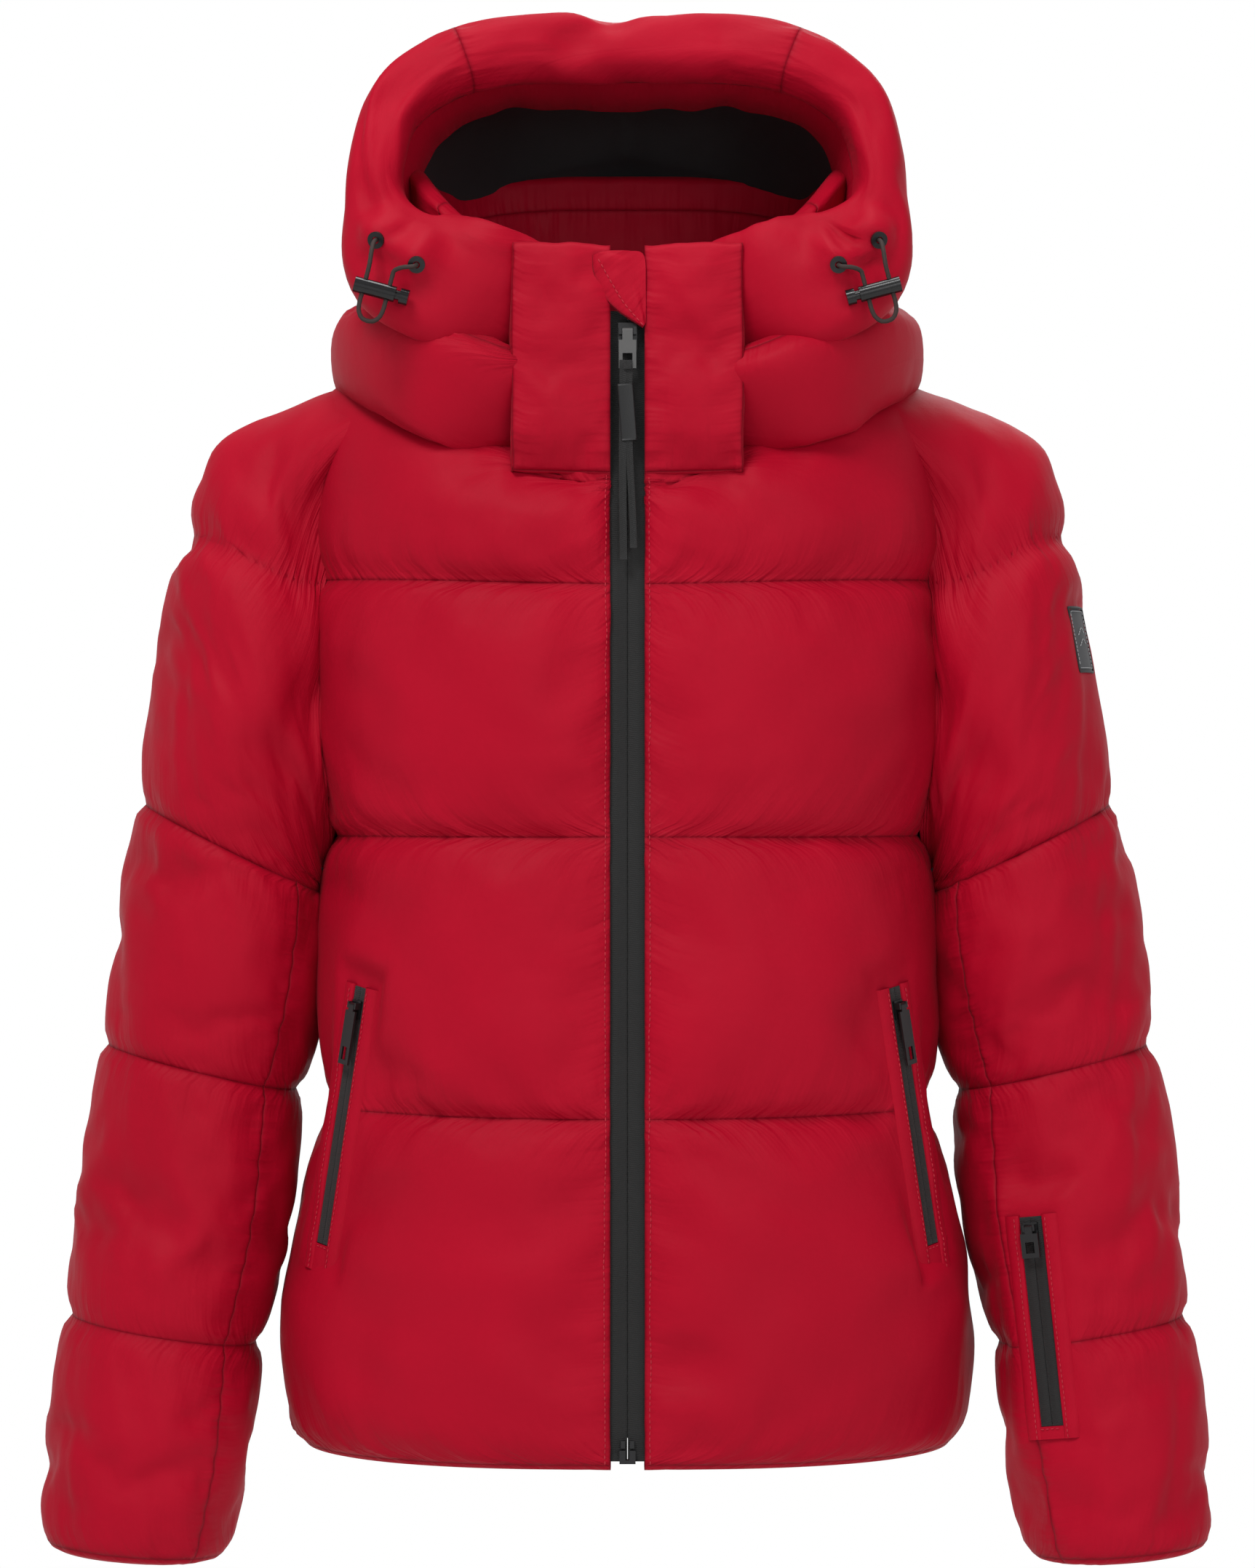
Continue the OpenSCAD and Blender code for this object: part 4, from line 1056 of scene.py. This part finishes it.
def strap(path, across, width, thick, power=0.3, sides=12):
    """A flat strap swept along a path, with rounded edges."""
    along = unit(np.gradient(path, axis=0))
    across = np.broadcast_to(np.asarray(across, float), path.shape)
    across = unit(across - (across * along).sum(1, keepdims=True) * along)
    up = np.cross(along, across)
    a = np.arange(sides) * math.tau / sides
    c = np.sign(np.cos(a)) * np.abs(np.cos(a)) ** power
    s = np.sign(np.sin(a)) * np.abs(np.sin(a)) ** power
    width = np.broadcast_to(np.asarray(width, float), len(path))[:, None, None]
    g = (path[:, None] + across[:, None] * c[None, :, None] * width / 2
         + up[:, None] * s[None, :, None] * thick / 2)
    lid = g.mean(1, keepdims=True)
    return np.concatenate([g[:1] * 0.02 + lid[:1] * 0.98, g[:1], g, g[-1:],
                           g[-1:] * 0.02 + lid[-1:] * 0.98])


def joined(name, grids, material, body=ROOT, instead_of=()):
    """Several wrapped grids as one piece with UVs."""
    verts, faces, uvs, base = [], [], [], 0
    for g in grids:
        g = np.concatenate([g, g[:, :1]], axis=1)
        verts.append(g.reshape(-1, 3))
        uvs.append(np.stack(lengths(g), -1).reshape(-1, 2))
        faces += (grid_faces(len(g), g.shape[1]) + base).tolist()
        base += len(verts[-1])
    obj = new_object(name, np.concatenate(verts), faces, material,
                     {"UVMap": np.concatenate(uvs)})
    return placed(obj, body, instead_of=instead_of)


def along_zip(col, step, lift):
    """A line down the front step of the way from one column of the body to the next."""
    start = body_fine[:, col]
    toward = body_fine[:, col + (1 if col == 0 else -1)]
    return start * (1 - step) + toward * step + normals(body_fine)[:, col] * lift


stitches("front_zip_stitching", [along_zip(0, 0.75, 0.3), along_zip(-1, 0.75, 0.3)])

# The ribbon through the main pull: a folded bow, a wrap and two tails
PULL_FRONT, PULL_TOP = 120.4, 594.9
ACROSS = (1, 0, 0)


def hung(x, out, down):
    """Points in the main pull's place: x across, out from the zip, down from its pin."""
    x, out, down = np.broadcast_arrays(*(np.asarray(a, float) for a in (x, out, down)))
    return np.stack([x, -PULL_FRONT - out - math.tan(LEAN) * down, PULL_TOP - down], -1)


t = np.linspace(0, 1, 25)
tail_a = strap(hung(-2.2 + 0.5 * t - 0.6 * np.sin(t * 2.6), 2.6 + 0.5 * np.sin(t * 3),
                    16 + 105 * t), ACROSS, 3.9, 1.0, 0.35, 16)
tail_b = strap(hung(0.8 + 2.3 * smooth(t, 0.35, 1), 2.4 + 0.7 * np.sin(t * 2.4), 16 + 99 * t),
               ACROSS, 3.6, 1.0, 0.35, 16)
fold = strap(hung(0 * t, 2.3 + 1.6 * np.cos(t * math.pi), 20.8 - 2.6 * np.sin(t * math.pi)),
             ACROSS, 4.4, 0.9, 0.35, 16)
wrap = strap(hung(-1.3 + 2.2 * t, 2.9, 28.5 + 30 * t), ACROSS, 8.2, 2.6, 0.3, 16)
joined("pull_ribbon_cloth", [tail_a, tail_b, fold], ribbon_black, "main_pull",
       instead_of=["pull_ribbon"])
joined("pull_wrap", [wrap], wrap_black, "main_pull")

# Zip tapes that meet over the interlocked coil
TAPE_HALF, COIL_POINTS = 5.65, 840
tape_z, coil_z = np.linspace(2, 605.4, 120), np.linspace(14, 601, COIL_POINTS)
tapes = [strap(np.stack([way * TAPE_HALF + 0 * tape_z, front_y(tape_z) + 2.6, tape_z], -1),
               ACROSS, 11.0, 1.2) for _, way in SIDES]
joined("zip_tape_cloth", tapes, ribbon_black, instead_of=["zip_tapes"])
coil = strap(np.stack([0 * coil_z, front_y(coil_z) + 4.5, coil_z], -1), ACROSS,
             5.0 + 0.7 * np.cos(np.arange(COIL_POINTS) * math.pi), 2.0, 0.7, 10)
joined("zip_coil_row", [coil], coil_black, instead_of=["zip_coils"])

# Hanger loop: a strap bow inside the neck
BOW_RADIUS, BOW_FROM_BACK, BOW_Z = 46.0, 109.2, 607.0
bow = np.radians(np.linspace(-39, 39, 33))
bow_path = np.stack([BOW_RADIUS * np.sin(bow), BOW_FROM_BACK - BOW_RADIUS * np.cos(bow),
                     BOW_Z + 0 * bow], -1)
joined("hanger_loop_cloth", [strap(bow_path, (0, 0, 1), 8.0, 0.9, 0.35, 16)], ribbon_black,
       instead_of=["hanger_loop"])

# Garage flap over the top end of the zip: its lower left edge is folded and stitched
GARAGE_EDGE = [(-18.6, 634), (-17.8, 625), (-14.3, 615), (-5.5, 605.5), (8.2, 596)]
GARAGE_BACK = [(-12, 636.5), (1, 636.5), (8.6, 634), (9.6, 618), (9.6, 598.5)]
edge_xz, back_xz = (spline(line, np.linspace(0, 1, 25)) for line in (GARAGE_EDGE, GARAGE_BACK))
# The folded edge's three rows lie under the flap, each this far below its face
garage_rows = [(edge_xz + (edge_xz - back_xz) * 0.02, 6.6 - under) for under in (4.5, 3.0, 1.3)]
for b in np.linspace(0, 1, 11):
    swell = 1.7 * math.sin(min(b * 1.3, 1) * math.pi) ** 0.6 if b > 0 else 0
    ripple = 0.45 * noise(np.linspace(0, 6, 25), b * 3 + 4, 77) * (b > 0)
    garage_rows.append((edge_xz + (back_xz - edge_xz) * b, 6.6 + swell + ripple))
garage = finer(np.array([np.stack([xz[:, 0], front_y(xz[:, 1]) - lift, xz[:, 1]], -1)
                         for xz, lift in garage_rows]))[:, ::-1]
placed(grid_object("zip_garage_cloth", garage, shell_red, rows=[6]),
       instead_of=["zip_garage"])
stitches("zip_garage_stitching", [garage[11] + np.array([0, -0.35, 0])])

# ---- Pocket zips ----
# A folded lip across: from the zip's edge, and up (negative) or down from the strip
WELT_PROFILE = np.array([(-0.4, 1.6), (-0.25, -0.2), (0.25, -0.95), (1.4, -1.25), (3.6, -1.15),
                         (6.0, -0.6), (8.0, 0.6), (9.2, 2.4)])
WELT_ROWS, WELT_ABOVE = 60, 1


def pocket_zip(name, welt_name, axes, width, length, below, body=ROOT, way=1, node=()):
    """Two tapes that meet along the middle, between folded lips of the shell with an end bar
    and stitching."""
    foot, x, y, z = axes
    side = np.array([way, 1, 1])

    def put(px, py, pz):
        px, py, pz = np.broadcast_arrays(px, py, pz)
        return (foot + px[..., None] * x + py[..., None] * y + pz[..., None] * z) * side

    def lip_piece(end, g, turn):
        obj = grid_object(welt_name + end, finer(g[:, ::-1] if turn else g), shell_red)
        placed(obj, body=body)

    s = np.linspace(0, length, 60)
    tapes = [strap(put(lip * width / 4, 0.7, s), x * side, width / 2 - 0.15, 1.3)
             for lip in (-1, 1)]
    joined(name, tapes, ribbon_black, body, instead_of=node)
    half = width / 2 + 0.2
    zs = np.linspace(-below, length + WELT_ABOVE, WELT_ROWS)
    sew = []
    for lip, end in ((-1, "_a"), (1, "_b")):
        wave = 0.35 * noise(zs / 9, 5, 71 + lip)
        across, up = WELT_PROFILE.T
        g = put(lip * (half + across), up + wave[:, None] * (across > 1), zs[:, None])
        lip_piece(end, g, lip * way > 0)
        sew.append(put(lip * (half + 2.2), -1.55 + wave, zs))
    xs = np.linspace(-half - 0.2, half + 0.2, 7)
    px, pz = np.meshgrid(xs, np.linspace(-0.2, -below, 8))
    lip_piece("_foot", put(px, -0.55 - 0.35 * np.cos(px / half * math.pi / 2), pz), way < 0)
    sew.append(put(xs, -1.2, -1.5))
    stitches(welt_name + "_stitching", sew, body, pitch=2.9, length=2.1, radius=0.27)


for side, way in SIDES:
    pocket_zip("pocket_zip_" + side, "pocket_welt_" + side, POCKET_ZIP, 10, POCKET_ZIP_LENGTH,
               15, way=way, node=["pocket_zips"] if way > 0 else ())
pocket_zip("sleeve_zip_strip", "sleeve_zip_welt", SLEEVE_ZIP, 13, SLEEVE_ZIP_LENGTH, 7,
           "forearm_left", node=["sleeve_zip"])

# ---- Sleeve label ----
LABEL_TURN = (Matrix.Rotation(math.radians(-22), 3, "Z")
              @ Matrix.Rotation(math.radians(-11), 3, "Y"))
LABEL_HALF_U, LABEL_HALF_W = 13, 18


def on_label(out, u, w):
    """Points on the label's gently curved face: out from it, across and up."""
    out, u, w = np.broadcast_arrays(*(np.asarray(a, float) for a in (out, u, w)))
    local = np.stack([0.4 + out - u * u / 110, u, w], -1)
    return LABEL_AT + local @ np.array(LABEL_TURN).T


def label_outline(inset, out):
    u, w = LABEL_HALF_U - inset, LABEL_HALF_W - inset
    corners = [(-u, -w), (u, -w), (u, w), (-u, w), (-u, -w)]
    pts = np.concatenate([np.linspace(a, b, 20)[:-1] for a, b in zip(corners, corners[1:])]
                         + [np.array(corners[-1:])])
    return on_label(out, pts[:, 0], pts[:, 1])


pu, pw = np.meshgrid(np.linspace(-LABEL_HALF_U, LABEL_HALF_U, 15),
                     np.linspace(-LABEL_HALF_W, LABEL_HALF_W, 21))
on_edge = (np.abs(pu) > LABEL_HALF_U - 0.1) | (np.abs(pw) > LABEL_HALF_W - 0.1)
placed(grid_object("sleeve_label", on_label(0.5 - 1.6 * on_edge, pu, pw), label_grey),
       instead_of=["sleeve_patch"])
joined("sleeve_label_border", [round_tube(label_outline(0.4, 0.6), 0.75, 8)], ribbon_black)
chevron_u = np.linspace(-6, 6, 13)
chevrons = [on_label(0.8, chevron_u, rise + 4 - np.abs(chevron_u) * 0.8) for rise in (-3.0, 3.0)]
stitches("sleeve_label_stitching", [label_outline(2.4, 0.8)] + chevrons,
         material=thread_pale, pitch=2.2, length=2.0, radius=0.26)

# ---- Floor, camera and light ----
FLOOR_RADIUS, FLOOR_Z, FLOOR_SIDES = 2.2, -1.1, 64
CAMERA_BACK, CAMERA_HEIGHT, LENS = 2800, 356, 146.1
scene = bpy.context.scene
floor_mesh = bpy.data.meshes.new("floor")
floor_mesh.from_pydata(
    [(math.cos(a) * FLOOR_RADIUS, math.sin(a) * FLOOR_RADIUS, FLOOR_Z)
     for a in np.linspace(0, math.tau, FLOOR_SIDES + 1)[:-1]], [], [range(FLOOR_SIDES)])
floor_mesh.materials.append(plain_material("floor", (0.82, 0.82, 0.81), 0.8, grain=40,
                                           depth=0.0005, vary=0.03))
floor = bpy.data.objects.new("floor", floor_mesh)
scene.collection.objects.link(floor)
camera = bpy.data.objects.new("camera", bpy.data.cameras.new("camera"))
scene.collection.objects.link(camera)
camera.data.sensor_width, camera.data.sensor_fit, camera.data.lens = 36, "HORIZONTAL", LENS
camera.data.clip_end = 20
camera.location = to_frame((0, -CAMERA_BACK, CAMERA_HEIGHT))
camera.rotation_euler = (math.radians(90), 0, 0)
scene.camera = camera

AIM = Vector((0, 0, -0.2))
for name, at, size, watts in (("key", (-0.9, -2.0, 2.4), 1.1, 86),
                              ("fill", (0.9, -2.9, 0.5), 1.2, 22),
                              ("top", (0.1, 0.3, 2.6), 1.3, 40),
                              ("back", (0.6, 2.4, 1.4), 1.6, 26)):
    light = bpy.data.lights.new(name, "AREA")
    light.shape, light.size, light.energy = "SQUARE", size, watts
    lamp = bpy.data.objects.new(name, light)
    lamp.location = at
    lamp.rotation_euler = (AIM - Vector(at)).to_track_quat("-Z", "Y").to_euler()
    scene.collection.objects.link(lamp)

# White all round at eye level, dimmer above and below, so the puffs keep their shading
WORLD_STOPS = [(0.0, 0.3), (0.3, 0.5), (0.36, 1.0), (0.59, 1.0), (0.65, 0.34), (1.0, 0.28)]
world = bpy.data.worlds.new("world")
world.use_nodes = True
tree = world.node_tree
direction = tree.nodes.new("ShaderNodeTexCoord")
height = tree.nodes.new("ShaderNodeSeparateXYZ")
remap = tree.nodes.new("ShaderNodeMapRange")
dim = tree.nodes.new("ShaderNodeValToRGB")
remap.inputs["From Min"].default_value, remap.inputs["From Max"].default_value = -1, 1
tree.links.new(direction.outputs["Generated"], height.inputs[0])
tree.links.new(height.outputs["Z"], remap.inputs["Value"])
tree.links.new(remap.outputs["Result"], dim.inputs["Fac"])
tree.links.new(dim.outputs["Color"], tree.nodes["Background"].inputs["Color"])
while len(dim.color_ramp.elements) < len(WORLD_STOPS):
    dim.color_ramp.elements.new(0.5)
for element, (at, level) in zip(dim.color_ramp.elements, WORLD_STOPS):
    element.position, element.color = at, (level, level, level, 1)
tree.nodes["Background"].inputs["Strength"].default_value = 1.0
scene.world = world
scene.view_settings.view_transform = "Standard"
